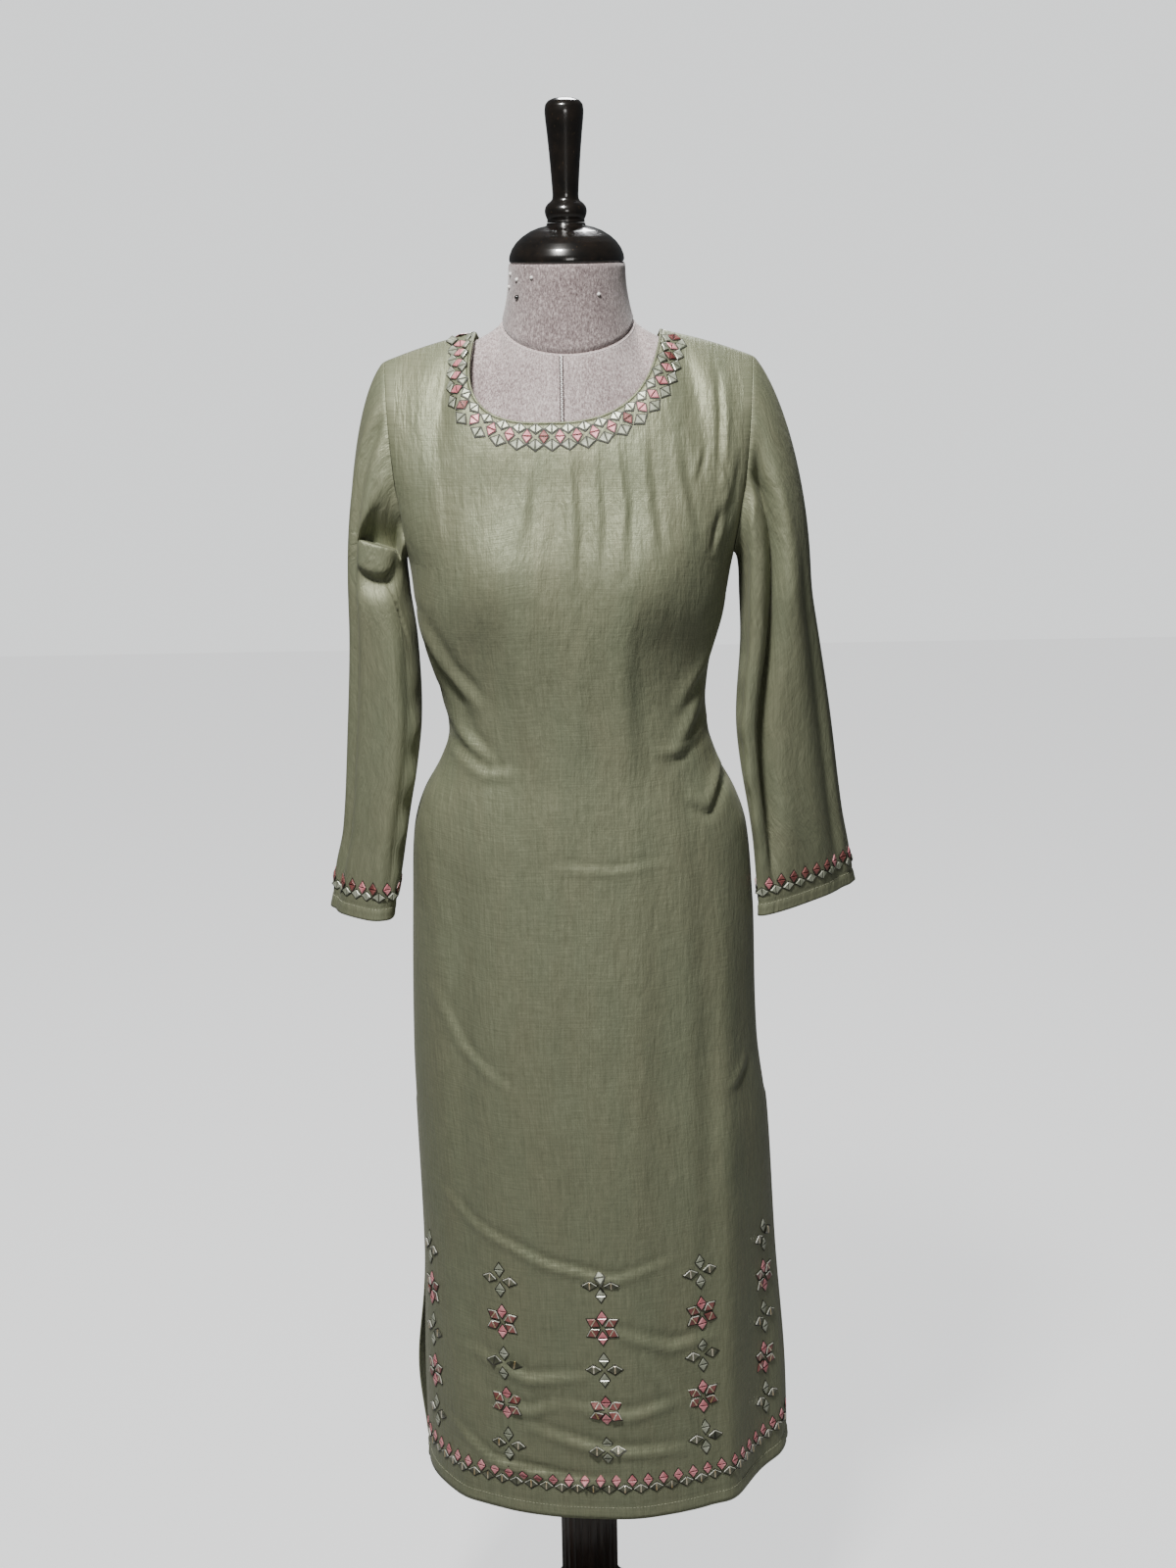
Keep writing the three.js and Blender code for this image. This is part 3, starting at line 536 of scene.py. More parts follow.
# %% Finish both panels
def finished_panel(side):
    """A panel with its creases, its sunken seams and its turned hem and slits."""
    points = plain_panel(side)
    _, below_top, from_side = edge_distances(points)
    inside = smooth_step(0, 22, from_side) * smooth_step(3, 20, below_top)
    chest_line = bump(points[..., 2] - CHEST_Z, 34)
    beside_neck = smooth_step(1300, 1350, points[..., 2])
    points = soften(points, inside * np.maximum(chest_line, beside_neck), PANEL_SOFTENING)
    normals = grid_normals(points) * (1 if side == FRONT else -1)
    x, z = points[..., 0], points[..., 2]
    above_hem, below_top, from_side = edge_distances(points)
    lift = cloth_creases(side, x, z)
    lift += soft_noise(x, z, 11 + side, 170, 7, 46, 0.7) + soft_noise(x, z, 23 + side, 120, 16, 20, 0.75)
    lift *= smooth_step(0, 20, from_side) * mix(0.3, 1, smooth_step(0, 26, below_top))
    sewn = smooth_step(SLIT_TOP_Z - 6, SLIT_TOP_Z + 6, z)
    seam_roll = -SEAM_SINK * bump(from_side, SEAM_WIDTH) * sewn
    in_neck = np.abs(SHARES)[None, :] < NECK_COLUMNS - 0.01
    seam_roll -= np.where(in_neck, 0, SEAM_SINK) * bump(below_top, SEAM_WIDTH)
    lift += seam_roll + turned_edge(above_hem, TURNED_HEM)
    lift += turned_edge(from_side, TURNED_SLIT) * (1 - sewn)
    points = points + normals * lift[..., None]
    limit = side * SEAM_GAP / 2
    keep = np.minimum if side == FRONT else np.maximum
    points[..., 1] = keep(points[..., 1], limit)
    return points


panel_points = {side: finished_panel(side) for side in (FRONT, BACK)}
for side, points in panel_points.items():
    print("panel", "front" if side == FRONT else "back", points.shape)

# %% [markdown]
# ## Sleeves
# A set-in sleeve starts at the armhole, rolls over the upper arm and then hangs. With no arm in it,
# it hangs nearly flat: the left one is turned almost edge-on and folded along a crease, the right one
# shows its broad side with a deep trough next to the body. Just under the left armpit the cloth is
# pinched: it falls back into a hollow above a raised lip. Two flat pieces could be sewn round a
# tube, but one grid of rings, closed under the arm, keeps the threads running down the sleeve.

# %% Sizes of the sleeves
SLEEVE_GAP = 0.08
HEAD_STEPS = 100
HANG_STEPS = 150
TURN_STEPS = 128
CUFF_RISE = {LEFT: 0, RIGHT: 7}
SLEEVE_SOFTENING = 60

# Height, side next to the body, outer side, middle depth, half depth, turned back, squareness.
SLEEVE_KEYS = {
    LEFT: [
        (1186, 160, 220, 3, 56, 4, 2.2),
        (1141, 154, 221, 4, 54, 8, 2.3),
        (1054, 153, 227, 4, 50, 14, 2.4),
        (948, 170, 236, 2, 46, 20, 2.4),
        (905, 177, 246, 0, 43, 24, 2.4),
        (864, 186, 253, -2, 40, 26, 2.4),
    ],
    RIGHT: [
        (1186, 164, 236, 3, 55, 6, 2.2),
        (1141, 165, 244, 4, 48, 14, 2.2),
        (1054, 160, 258, 4, 36, 26, 2.2),
        (948, 175, 272, 5, 26, 34, 2.1),
        (905, 179, 280, 6, 21, 36, 2.0),
        (864, 182, 287, 8, 18, 38, 2.0),
    ],
}
print("sleeves hang from", SLEEVE_KEYS[LEFT][0][0], "to", SLEEVE_KEYS[LEFT][-1][0], "mm")

# %% The armhole and the rings below it
def armhole_points(hand, turns):
    """The armhole: 0 at the shoulder tip, forward and down to the armpit at 0.5, and back up."""
    points = []
    share = np.array([float(hand)])
    for turn in turns:
        side = FRONT if turn <= 0.5 else BACK
        from_tip = 2 * min(turn, 1 - turn)
        if from_tip <= 0.6:
            points.append(upper_points(side, share, 1 - from_tip / 0.6)[0])
        else:
            w = (1 - (from_tip - 0.6) / 0.4) * math.pi / 2
            z = ARMPIT_Z + (CHEST_Z - ARMPIT_Z) * (1 - math.cos(w))
            points.append(lower_points(side, share, z, 1 - (1 - ARMHOLE_SHARE) * math.sin(w))[0])
    return np.array(points)


def sleeve_section(hand, z, turns):
    """A ring of the hanging sleeve: turn 0 is its outer side, 0.25 its front, 0.5 the body side."""
    keys = SLEEVE_KEYS[hand]
    inside, outside = read_keys(keys, z, 1), read_keys(keys, z, 2)
    power = 2 / read_keys(keys, z, 6)
    c, s = np.cos(turns * 2 * math.pi), np.sin(turns * 2 * math.pi)
    across = np.sign(c) * np.abs(c) ** power
    forward = np.sign(s) * np.abs(s) ** power
    x = (inside + outside) / 2 + across * (outside - inside) / 2
    y = read_keys(keys, z, 3) - forward * read_keys(keys, z, 4) + across * read_keys(keys, z, 5)
    return np.stack([hand * x, y, np.full_like(x, z)], axis=-1)


print("left armpit at", [round(v) for v in armhole_points(LEFT, [0.5])[0]])

# %% Creases of the sleeves
def one_sided(distance, before, after):
    """A trough with one steep and one gentle side, as where a fold hangs over its own edge."""
    return bump(distance, np.where(distance < 0, before, after))


def sleeve_creases(hand, turns, z):
    """Lift of the cloth at each ring and turn, in millimetres."""
    if hand == LEFT:
        front = turns - 0.25
        strip = np.interp(z, [864, 1000, 1200, 1300, 1390], [0.10, 0.10, 0.105, 0.12, 0.14])
        hanging = smooth_step(1396, 1340, z)
        result = -5.0 * one_sided(turns - strip, 0.014, 0.030) * hanging
        result += 2.6 * bump(turns - strip + 0.035, 0.024) * hanging
        result += 2.2 * bump(turns - strip - 0.065, 0.03) * hanging
        window = smooth_step(0.12, 0.165, turns) * smooth_step(0.42, 0.34, turns)
        result += 3.5 * bump(z - 1308, 30) * bump(turns - 0.3, 0.07)
        flap = z - 1206 - 520 * (front - 0.02) ** 2
        result -= 10 * one_sided(flap, 14, 6) * window * smooth_step(0.13, 0.19, turns)
        wedge = z - 1172 + 900 * (turns - 0.37)
        result -= 7 * one_sided(wedge, 9, 3.5) * bump(turns - 0.385, 0.035) * bump(z - 1178, 26)
        result += 2.6 * np.sin(z / 8.5 + 6 * turns) * bump(turns - 0.43, 0.045) * bump(z - 1000, 90)
        result += 2.4 * bump(turns - 0.30, 0.04) * smooth_step(1180, 1110, z)
        return result - 2.4 * bump(turns - 0.37, 0.035) * smooth_step(1180, 1110, z)
    trough = np.interp(z, [864, 950, 1054, 1186, 1300, 1400], [0.37, 0.36, 0.335, 0.295, 0.265, 0.20])
    deep = smooth_step(1404, 1360, z) * mix(0.45, 1, smooth_step(1360, 1270, z)) * smooth_step(870, 990, z)
    result = -22 * one_sided(turns - trough, 0.045, 0.011) * deep
    result += 7 * bump(turns - trough - 0.055, 0.03) * deep
    result -= 3.5 * bump(turns - trough - 0.125, 0.03) * bump(z - 1300, 30)
    result += 3.0 * bump(turns - 0.19, 0.036) * smooth_step(1340, 1260, z)
    result -= 2.4 * bump(turns - 0.125, 0.02) * smooth_step(1250, 1150, z)
    result += 1.8 * bump(turns - 0.085, 0.02) * smooth_step(1250, 1150, z)
    return result + 1.6 * np.sin(z / 8.0 + 4 * turns) * bump(turns - 0.43, 0.04) * bump(z - 1040, 120)


def sleeve_hollow(hand, turns, z):
    """Moves the cloth back above the pinch of the left sleeve, and its lower lip up over the hollow."""
    if hand == RIGHT:
        return np.zeros(z.shape + (3,))
    above = np.clip((z - 1236) / 80, 0, 1)
    near = mix(0.125, 0.27, above)
    window = smooth_step(near, near + 0.06, turns) * smooth_step(0.41, 0.345, turns)
    pinch = z - 1236 + 60 * (turns - 0.25)
    back = 27 * one_sided(pinch, 3.0, 34) * window
    lip = 12 * bump(pinch + 7, 6) * window
    return np.stack([np.zeros_like(z), back, lip], axis=-1)


print("hollow of the left sleeve:", sleeve_hollow(LEFT, np.array(0.25), np.array(1245.0)).round(1))

# %% Finish both sleeves
def finished_sleeve(hand):
    """Rings of a sleeve from the armhole to the cuff, with its folds and its turned cuff."""
    turns = np.arange(TURN_STEPS) / TURN_STEPS
    keys = SLEEVE_KEYS[hand]
    low = (1 - np.cos(turns * 2 * math.pi)) / 2
    start = armhole_points(hand, turns)
    start[:, 0] += hand * SLEEVE_GAP
    start[:, 2] += SLEEVE_GAP * low
    end = sleeve_section(hand, keys[0][0], turns)
    drop = start[:, 2] - end[:, 2]
    first = start + np.stack([hand * mix(26, 6, low), 0 * low, -drop * mix(0.12, 0.05, low)], axis=-1)
    second = end + np.stack([0 * low, 0 * low, drop * 0.45], axis=-1)
    rings = [bezier(start, first, second, end, r / HEAD_STEPS) for r in range(HEAD_STEPS + 1)]
    top, bottom = keys[0][0], keys[-1][0]
    for r in range(1, HANG_STEPS + 1):
        ring = sleeve_section(hand, mix(top, bottom, r / HANG_STEPS), turns)
        ring[:, 2] += CUFF_RISE[hand] * np.cos(turns * 2 * math.pi) * r / HANG_STEPS
        rings.append(ring)
    points = np.array(rings)
    ring_number = np.arange(len(points))[:, None] * np.ones(TURN_STEPS)
    points = soften(points, bump(ring_number - HEAD_STEPS, 26), SLEEVE_SOFTENING, loop=True)
    normals = grid_normals(points, loop=True) * hand
    z = points[..., 2]
    lift = sleeve_creases(hand, np.broadcast_to(turns, z.shape), z)
    moved = sleeve_hollow(hand, np.broadcast_to(turns, z.shape), z)
    from_top = lengths_along(points, 0)
    to_cuff = from_top[-1] - from_top
    calm = mix(0.35, 1, smooth_step(0, 60, to_cuff)) * smooth_step(0, 22, from_top)
    lift += soft_noise(points[..., 0] * 2, z, 37 + hand, 140, 9, 34, 0.6)
    lift = lift * calm + turned_edge(to_cuff, TURNED_HEM) - SEAM_SINK * bump(from_top, SEAM_WIDTH)
    return points + normals * lift[..., None] + moved


sleeve_points = {hand: finished_sleeve(hand) for hand in (LEFT, RIGHT)}
for hand, points in sleeve_points.items():
    print("sleeve", "left" if hand == LEFT else "right", points.shape)

# %% [markdown]
# ## Materials: shared effects
# Two effects serve several finishes, so each is a node group. One is the slubbed silk surface, with
# vertical streaks, finer cross threads and a crushed crinkle; the other is the heathered knit of the
# form's cover. A group puts out only masks and heights: the shader stays in each material. Images of
# cloth could be used as well, but nodes need no files and stay sharp from close by.

# %% Start and place nodes
def start_material(name, roughness, **sockets):
    """A Principled material with plain values on its own sockets. Returns material, nodes, links, shader."""
    material = bpy.data.materials.new(name)
    material.use_nodes = True
    nodes, links = material.node_tree.nodes, material.node_tree.links
    shader = nodes["Principled BSDF"]
    shader.inputs["Roughness"].default_value = roughness
    for socket, value in sockets.items():
        shader.inputs[socket.replace("_", " ")].default_value = value
    return material, nodes, links, shader


def add_node(nodes, kind, **settings):
    """A new node; each setting is a value of one of its sockets or one of its own properties."""
    node = nodes.new(kind)
    for key, value in settings.items():
        if key in node.inputs:
            node.inputs[key].default_value = value
        else:
            setattr(node, key, value)
    return node


def object_place(nodes):
    return nodes.new("ShaderNodeTexCoord").outputs["Object"]


def stretched(nodes, links, vector, scale):
    mapping = nodes.new("ShaderNodeMapping")
    mapping.inputs["Scale"].default_value = scale
    links.new(vector, mapping.inputs["Vector"])
    return mapping.outputs["Vector"]


def ramp(nodes, links, value, stops):
    """A colour ramp; stops are (position, colour) with colour as (r, g, b)."""
    node = nodes.new("ShaderNodeValToRGB")
    elements = node.color_ramp.elements
    while len(elements) < len(stops):
        elements.new(0.5)
    for element, (position, colour) in zip(elements, stops):
        element.position = position
        element.color = (*colour, 1)
    links.new(value, node.inputs["Fac"])
    return node.outputs["Color"]


def noise(nodes, links, vector, scale, detail=2.0, roughness=0.5):
    node = nodes.new("ShaderNodeTexNoise")
    node.inputs["Scale"].default_value = scale
    node.inputs["Detail"].default_value = detail
    node.inputs["Roughness"].default_value = roughness
    links.new(vector, node.inputs["Vector"])
    return node.outputs["Fac"]


def combine(nodes, links, operation, a, b):
    node = nodes.new("ShaderNodeMath")
    node.operation = operation
    for socket, value in zip(node.inputs, (a, b)):
        if isinstance(value, (int, float)):
            socket.default_value = value
        else:
            links.new(value, socket)
    return node.outputs["Value"]


trial, trial_nodes, _, _ = start_material("trial", 0.5)
print("a new material starts with:", [node.name for node in trial_nodes])
bpy.data.materials.remove(trial)

# %% Groups, bumps and roughness
def start_group(name, inputs, outputs):
    group = bpy.data.node_groups.new(name, "ShaderNodeTree")
    for title, kind, value in inputs:
        socket = group.interface.new_socket(title, in_out="INPUT", socket_type=kind)
        if value is not None:
            socket.default_value = value
    for title, kind in outputs:
        group.interface.new_socket(title, in_out="OUTPUT", socket_type=kind)
    entry, leave = group.nodes.new("NodeGroupInput"), group.nodes.new("NodeGroupOutput")
    return group, group.nodes, group.links, entry, leave


def use_group(nodes, links, group, vector, **values):
    node = nodes.new("ShaderNodeGroup")
    node.node_tree = group
    links.new(vector, node.inputs["Vector"])
    for key, value in values.items():
        node.inputs[key].default_value = value
    return node


def bump_normal(nodes, links, shader, height, strength, distance):
    node = nodes.new("ShaderNodeBump")
    node.inputs["Strength"].default_value = strength
    node.inputs["Distance"].default_value = distance
    links.new(height, node.inputs["Height"])
    links.new(node.outputs["Normal"], shader.inputs["Normal"])


def vary_roughness(nodes, links, shader, mask, low, high):
    """Lets a mask between 0 and 1 move the roughness between two values."""
    node = nodes.new("ShaderNodeMapRange")
    node.inputs["To Min"].default_value = low
    node.inputs["To Max"].default_value = high
    links.new(mask, node.inputs["Value"])
    links.new(node.outputs["Result"], shader.inputs["Roughness"])


print("groups so far:", len(bpy.data.node_groups))

# %% The silk surface
def silk_surface():
    """Streaks, cross threads and crinkle of a slubbed silk, from cloth coordinates in metres."""
    group, nodes, links, entry, leave = start_group(
        "Silk surface",
        [("Vector", "NodeSocketVector", None), ("Crinkle", "NodeSocketFloat", 1.0)],
        [("Streaks", "NodeSocketFloat"), ("Patches", "NodeSocketFloat"), ("Height", "NodeSocketFloat")],
    )
    vector = entry.outputs["Vector"]
    streaks = noise(nodes, links, stretched(nodes, links, vector, (620, 26, 1)), 1.0, 3.0, 0.6)
    slubs = noise(nodes, links, stretched(nodes, links, vector, (30, 760, 1)), 1.0, 2.0, 0.6)
    patches = noise(nodes, links, stretched(nodes, links, vector, (26, 7, 1)), 1.0, 3.0, 0.55)
    crushed = noise(nodes, links, stretched(nodes, links, vector, (150, 46, 1)), 1.0, 3.0, 0.6)
    fine = noise(nodes, links, stretched(nodes, links, vector, (1500, 1500, 1)), 1.0, 1.0, 0.5)
    threads = combine(nodes, links, "ADD", streaks, combine(nodes, links, "MULTIPLY", slubs, 0.7))
    crinkle = combine(nodes, links, "MULTIPLY", crushed, entry.outputs["Crinkle"])
    height = combine(nodes, links, "ADD", combine(nodes, links, "MULTIPLY", threads, 0.16), crinkle)
    height = combine(nodes, links, "ADD", height, combine(nodes, links, "MULTIPLY", fine, 0.07))
    links.new(combine(nodes, links, "MULTIPLY", threads, 0.59), leave.inputs["Streaks"])
    links.new(patches, leave.inputs["Patches"])
    links.new(height, leave.inputs["Height"])
    return group


SILK = silk_surface()
print(SILK.name, "has", len(SILK.nodes), "nodes")

# %% [markdown]
# ## The tunic's cloth
# The cloth is sage green and slightly shot: in soft patches it goes from a cool green to a warmer,
# browner one. It shines like satin, so its roughness is middling, it is a third metallic, which tints
# the gloss with the colour of the cloth, and a thin sheen catches the light where it turns away.

# %% Make the cloth material
def cloth_material(name, dark, middle, light, roughness, crinkle):
    material, nodes, links, shader = start_material(
        name, roughness, Metallic=0.35, Sheen_Weight=0.05, Sheen_Roughness=0.4,
        Specular_IOR_Level=0.3)
    shader.inputs["Sheen Tint"].default_value = (0.9, 0.92, 0.78, 1)
    uv = add_node(nodes, "ShaderNodeUVMap", uv_map="cloth").outputs["UV"]
    silk = use_group(nodes, links, SILK, uv, Crinkle=crinkle)
    tone = ramp(nodes, links, silk.outputs["Streaks"], [(0.3, dark), (0.5, middle), (0.72, light)])
    warm = ramp(nodes, links, silk.outputs["Patches"],
                [(0.35, (0.98, 1.0, 0.993)), (0.65, (1.016, 0.994, 0.982))])
    blend = add_node(nodes, "ShaderNodeMix", data_type="RGBA", blend_type="MULTIPLY")
    blend.inputs["Factor"].default_value = 1.0
    links.new(tone, blend.inputs["A"])
    links.new(warm, blend.inputs["B"])
    links.new(blend.outputs["Result"], shader.inputs["Base Color"])
    vary_roughness(nodes, links, shader, silk.outputs["Streaks"], roughness - 0.07, roughness + 0.09)
    bump_normal(nodes, links, shader, silk.outputs["Height"], 1.0, 0.0015)
    return material


SAGE_CLOTH = cloth_material("sage_silk", (0.150, 0.160, 0.101), (0.190, 0.201, 0.131),
                            (0.240, 0.251, 0.168), 0.50, 1.0)
print(SAGE_CLOTH.name, "uses the group", SILK.name)

# %% [markdown]
# ## Sew the four pieces of cloth
# Each grid becomes a mesh, and a Solidify modifier gives it the wall of a real cloth with a turned
# edge. The outer surface keeps its place, so the wall grows inwards, away from the beads.

# %% Build the cloth pieces
WALL = 1.2 * MM


def cloth_piece(name, node, points, loop, flip, straight_above=None):
    piece = finish_piece(name, sheet_mesh(points, loop, flip, straight_above), SAGE_CLOTH)
    shell = piece.modifiers.new("wall", "SOLIDIFY")
    shell.thickness = WALL
    shell.offset = -1
    shell.use_even_offset = False
    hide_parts(node)
    return piece


CHEST_ROW = LOWER_ROWS + ARMHOLE_STEPS
front_cloth = cloth_piece("front_cloth", "front_panel", panel_points[FRONT], False, False, CHEST_ROW)
back_cloth = cloth_piece("back_cloth", "back_panel", panel_points[BACK], False, True, CHEST_ROW)
left_sleeve = cloth_piece("left_sleeve", "sleeve_left", sleeve_points[LEFT], True, True)
right_sleeve = cloth_piece("right_sleeve", "sleeve_right", sleeve_points[RIGHT], True, False)
for piece in (front_cloth, back_cloth, left_sleeve, right_sleeve):
    print(piece.name, len(piece.data.polygons), "faces, area",
          round(sum(p.area for p in piece.data.polygons), 3))

# %% [markdown]
# ## The neckline's edging
# A narrow roll of the same cloth finishes the neckline, inside the beads. A curve with a round
# bevel could draw it, but here it is a tube of rings along the edge points of both panels, because
# the rings then turn with the cloth.

# %% Build the edging
def neck_loop():
    """Neckline points and surface normals, once round: along the front, then along the back."""
    places, normals = [], []
    for side in (FRONT, BACK):
        points = panel_points[side]
        out = grid_normals(points) * (1 if side == FRONT else -1)
        columns = range(MIDDLE - NECK_STEPS, MIDDLE + NECK_STEPS)
        if side == BACK:
            columns = range(MIDDLE + NECK_STEPS, MIDDLE - NECK_STEPS, -1)
        for c in columns:
            places.append(points[-1, c])
            normals.append(out[-2, c])
    return np.array(places), unit(np.array(normals))


def round_ways(places):
    """Unit directions along a closed path, at each of its places."""
    return unit(np.roll(places, -1, axis=0) - np.roll(places, 1, axis=0))


def loop_frames(places, normals):
    """Unit directions along the loop and, in the cloth, away from the neck opening."""
    along = round_ways(places)
    away = unit(np.cross(along, normals))
    centre = np.array([0, 0, 1]) * places + np.array([1, 1, 0]) * places.mean(axis=0)
    wrong = np.sum(away * (places - centre), axis=1) < 0
    away[wrong] *= -1
    return along, away


neck_places, neck_normals = neck_loop()
neck_along, neck_away = loop_frames(neck_places, neck_normals)
EDGING_RADIUS = 1.25
EDGING_SIDES = 12
angles = np.arange(EDGING_SIDES) / EDGING_SIDES * 2 * math.pi
edging_centre = neck_places - neck_away * (EDGING_RADIUS + 0.1) - neck_normals * 0.5
edging_rings = np.array([
    edging_centre + EDGING_RADIUS * (math.cos(a) * neck_away + math.sin(a) * neck_normals)
    for a in angles
]).transpose(1, 0, 2)
closed_rings = np.concatenate([edging_rings, edging_rings[:1]], axis=0)
edging_mesh = sheet_mesh(closed_rings, loop=True)
bmesh.ops.remove_doubles(edging_mesh, verts=edging_mesh.verts, dist=SAME_PLACE)
bmesh.ops.recalc_face_normals(edging_mesh, faces=edging_mesh.faces)
neck_edging = finish_piece("neck_edging", edging_mesh, SAGE_CLOTH)
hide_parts("neck_binding")
print("edging runs", round(np.linalg.norm(np.diff(neck_places, axis=0), axis=1).sum()), "mm")

# %% [markdown]
# ## Beads
# The decoration is built from one shape: a lozenge of two raised triangles with a dark gap between
# them, laid on a near-black plate a little larger than it: a painted shadow that shows as a thin outline
# and in the gap. Turned upright in rose it is the tall bead, turned flat in silver it is the wide one.
# The wide beads of the border and the flowers mirror the dark side of the room: their dark colour is a
# painted reflection. They and the side petals of the rose stars carry a thin pale ridge along their
# upper edges, a painted highlight, and a pale gold bar. Hundreds of copies follow, so each template
# keeps only a few dozen faces.

# %% Bead shapes
BEAD_LONG = 13.5
BEAD_SHORT = 9.0
BEAD_HEIGHT = 1.3
BEAD_SPLIT = 0.9
# The plate under each bead is a painted shadow, seen as a thin dark outline.
PAINTED_SHADOW_MARGIN = (3.4, 2.5)
PAINTED_SHADOW_HEIGHT = 0.35
half_long, half_short = BEAD_LONG / 2, BEAD_SHORT / 2


def lozenge(long, short, height, split):
    """Two raised triangles, long axis along Y, split across the middle. Millimetres."""
    bm = bmesh.new()
    low = [(-short / 2, split / 2, 0), (short / 2, split / 2, 0), (0, long / 2, 0)]
    base = bm.faces.new([bm.verts.new(corner) for corner in low])
    raised = bmesh.ops.extrude_face_region(bm, geom=[base])
    top = [v for v in raised["geom"] if isinstance(v, bmesh.types.BMVert)]
    bmesh.ops.translate(bm, verts=top, vec=(0, 0, height * 0.55))
    cap = [f for f in raised["geom"] if isinstance(f, bmesh.types.BMFace)]
    bmesh.ops.inset_individual(bm, faces=cap, thickness=short * 0.13, depth=height * 0.45)
    copy = bmesh.ops.duplicate(bm, geom=bm.verts[:] + bm.edges[:] + bm.faces[:])
    turned = [v for v in copy["geom"] if isinstance(v, bmesh.types.BMVert)]
    bmesh.ops.rotate(bm, verts=turned, cent=(0, 0, 0), matrix=Matrix.Rotation(math.pi, 3, "Z"))
    bmesh.ops.recalc_face_normals(bm, faces=bm.faces)
    return bm


def plate(long, short, height):
    """The near-black plate under a bead, a painted shadow round it: a flat lozenge a little larger than it.
    """
    bm = bmesh.new()
    bmesh.ops.create_circle(bm, cap_ends=True, segments=4, radius=1)
    bmesh.ops.scale(bm, verts=bm.verts, vec=(short / 2, long / 2, 1))
    raised = bmesh.ops.extrude_face_region(bm, geom=bm.faces[:])
    top = [v for v in raised["geom"] if isinstance(v, bmesh.types.BMVert)]
    bmesh.ops.translate(bm, verts=top, vec=(0, 0, height))
    bmesh.ops.recalc_face_normals(bm, faces=bm.faces)
    return bm


def bar(start, end, width, low, high):
    """A thin rounded bar between two points of the bead's plane."""
    bm = bmesh.new()
    bmesh.ops.create_cube(bm, size=1)
    ax, ay = start
    bx, by = end
    length = math.hypot(bx - ax, by - ay)
    bmesh.ops.scale(bm, verts=bm.verts, vec=(length, width, high - low))
    bmesh.ops.bevel(bm, geom=bm.edges[:], offset=width * 0.28, segments=1, profile=0.5,
                    affect="EDGES", material=-1)
    turn = Matrix.Rotation(math.atan2(by - ay, bx - ax), 3, "Z")
    bmesh.ops.rotate(bm, verts=bm.verts, cent=(0, 0, 0), matrix=turn)
    bmesh.ops.translate(bm, verts=bm.verts, vec=((ax + bx) / 2, (ay + by) / 2, (low + high) / 2))
    return bm


print("bars of", round(half_short * 1.72, 1), "mm cross a bead")

# %% Templates of the beads
def as_mesh(name, *parts):
    """Joins a few bmeshes into one template mesh."""
    joined = bmesh.new()
    for part in parts:
        small = bpy.data.meshes.new(name)
        part.to_mesh(small)
        part.free()
        joined.from_mesh(small)
        bpy.data.meshes.remove(small)
    mesh = bpy.data.meshes.new(name)
    joined.to_mesh(mesh)
    joined.free()
    return mesh


TEMPLATES = {
    "bead": as_mesh("bead", lozenge(BEAD_LONG, BEAD_SHORT, BEAD_HEIGHT, BEAD_SPLIT)),
    # The plate under each bead: a painted shadow.
    "ground": as_mesh("ground", plate(BEAD_LONG + PAINTED_SHADOW_MARGIN[0], BEAD_SHORT + PAINTED_SHADOW_MARGIN[1],
                                      PAINTED_SHADOW_HEIGHT)),
    "bar": as_mesh("bar", bar((-half_short * 0.86, 0), (half_short * 0.86, 0), 1.3, 0.2, 1.7)),
    # Thin raised bars along a bead's upper edges, in a pale finish that is a painted highlight.
    "ridge": as_mesh(
        "ridge",
        bar((half_short, 0.3), (0.3, half_long), 0.75, 0.4, 1.5),
        bar((half_short, -0.3), (0.3, -half_long), 0.75, 0.4, 1.5)),
}
print("bead faces:", {name: len(mesh.polygons) for name, mesh in TEMPLATES.items()})

# %% [markdown]
# ## Where the beads go
# Each bead needs a place on the cloth, the direction of its long axis and the direction that points
# out of the cloth. They could be scattered by hand, but a search tree over the four pieces finds the
# nearest point of the cloth, so a bead that is planned a few millimetres away still lands flat on it.
# Round the neck the rows are walked outwards over the cloth from the edge, in small steps.

# %% Find places on the cloth
def search_tree(pieces):
    joined = bmesh.new()
    for piece in pieces:
        joined.from_mesh(piece.data)
    tree = BVHTree.FromBMesh(joined)
    joined.free()
    return tree


WALK_STEP = 1.5
BEAD_LIFT = 0.15
cloth_tree = search_tree([front_cloth, back_cloth, left_sleeve, right_sleeve])
bead_plan = []


def walk_cloth(place, way, distance):
    """Walks over the cloth from a place in a direction; gives the place and direction reached."""
    spot, way = Vector(place) * MM, Vector(way)
    steps = max(int(distance / WALK_STEP), 1)
    for _ in range(steps):
        spot, normal, _, _ = cloth_tree.find_nearest(spot + way * (distance / steps * MM))
        way = (way - normal * way.dot(normal)).normalized()
    return np.array(spot) / MM, np.array(way)


def plan_bead(kind, place, long_axis, normal, group, size):
    """Notes one bead: its kind, its matrix (millimetres to metres) and the group it is joined into."""
    long, short = size
    spot, cloth_normal, _, _ = cloth_tree.find_nearest(Vector(place) * MM)
    if cloth_normal.dot(Vector(normal)) < 0:
        cloth_normal = -cloth_normal
    up = cloth_normal.normalized()
    long_axis = Vector(long_axis)
    long_axis = (long_axis - up * long_axis.dot(up)).normalized()
    across = long_axis.cross(up).normalized()
    matrix = Matrix((across, long_axis, up)).transposed().to_4x4()
    matrix.translation = spot + up * BEAD_LIFT * MM
    shape = Matrix.Diagonal((short / BEAD_SHORT * MM, long / BEAD_LONG * MM, MM, 1))
    bead_plan.append((kind, matrix @ shape, group))


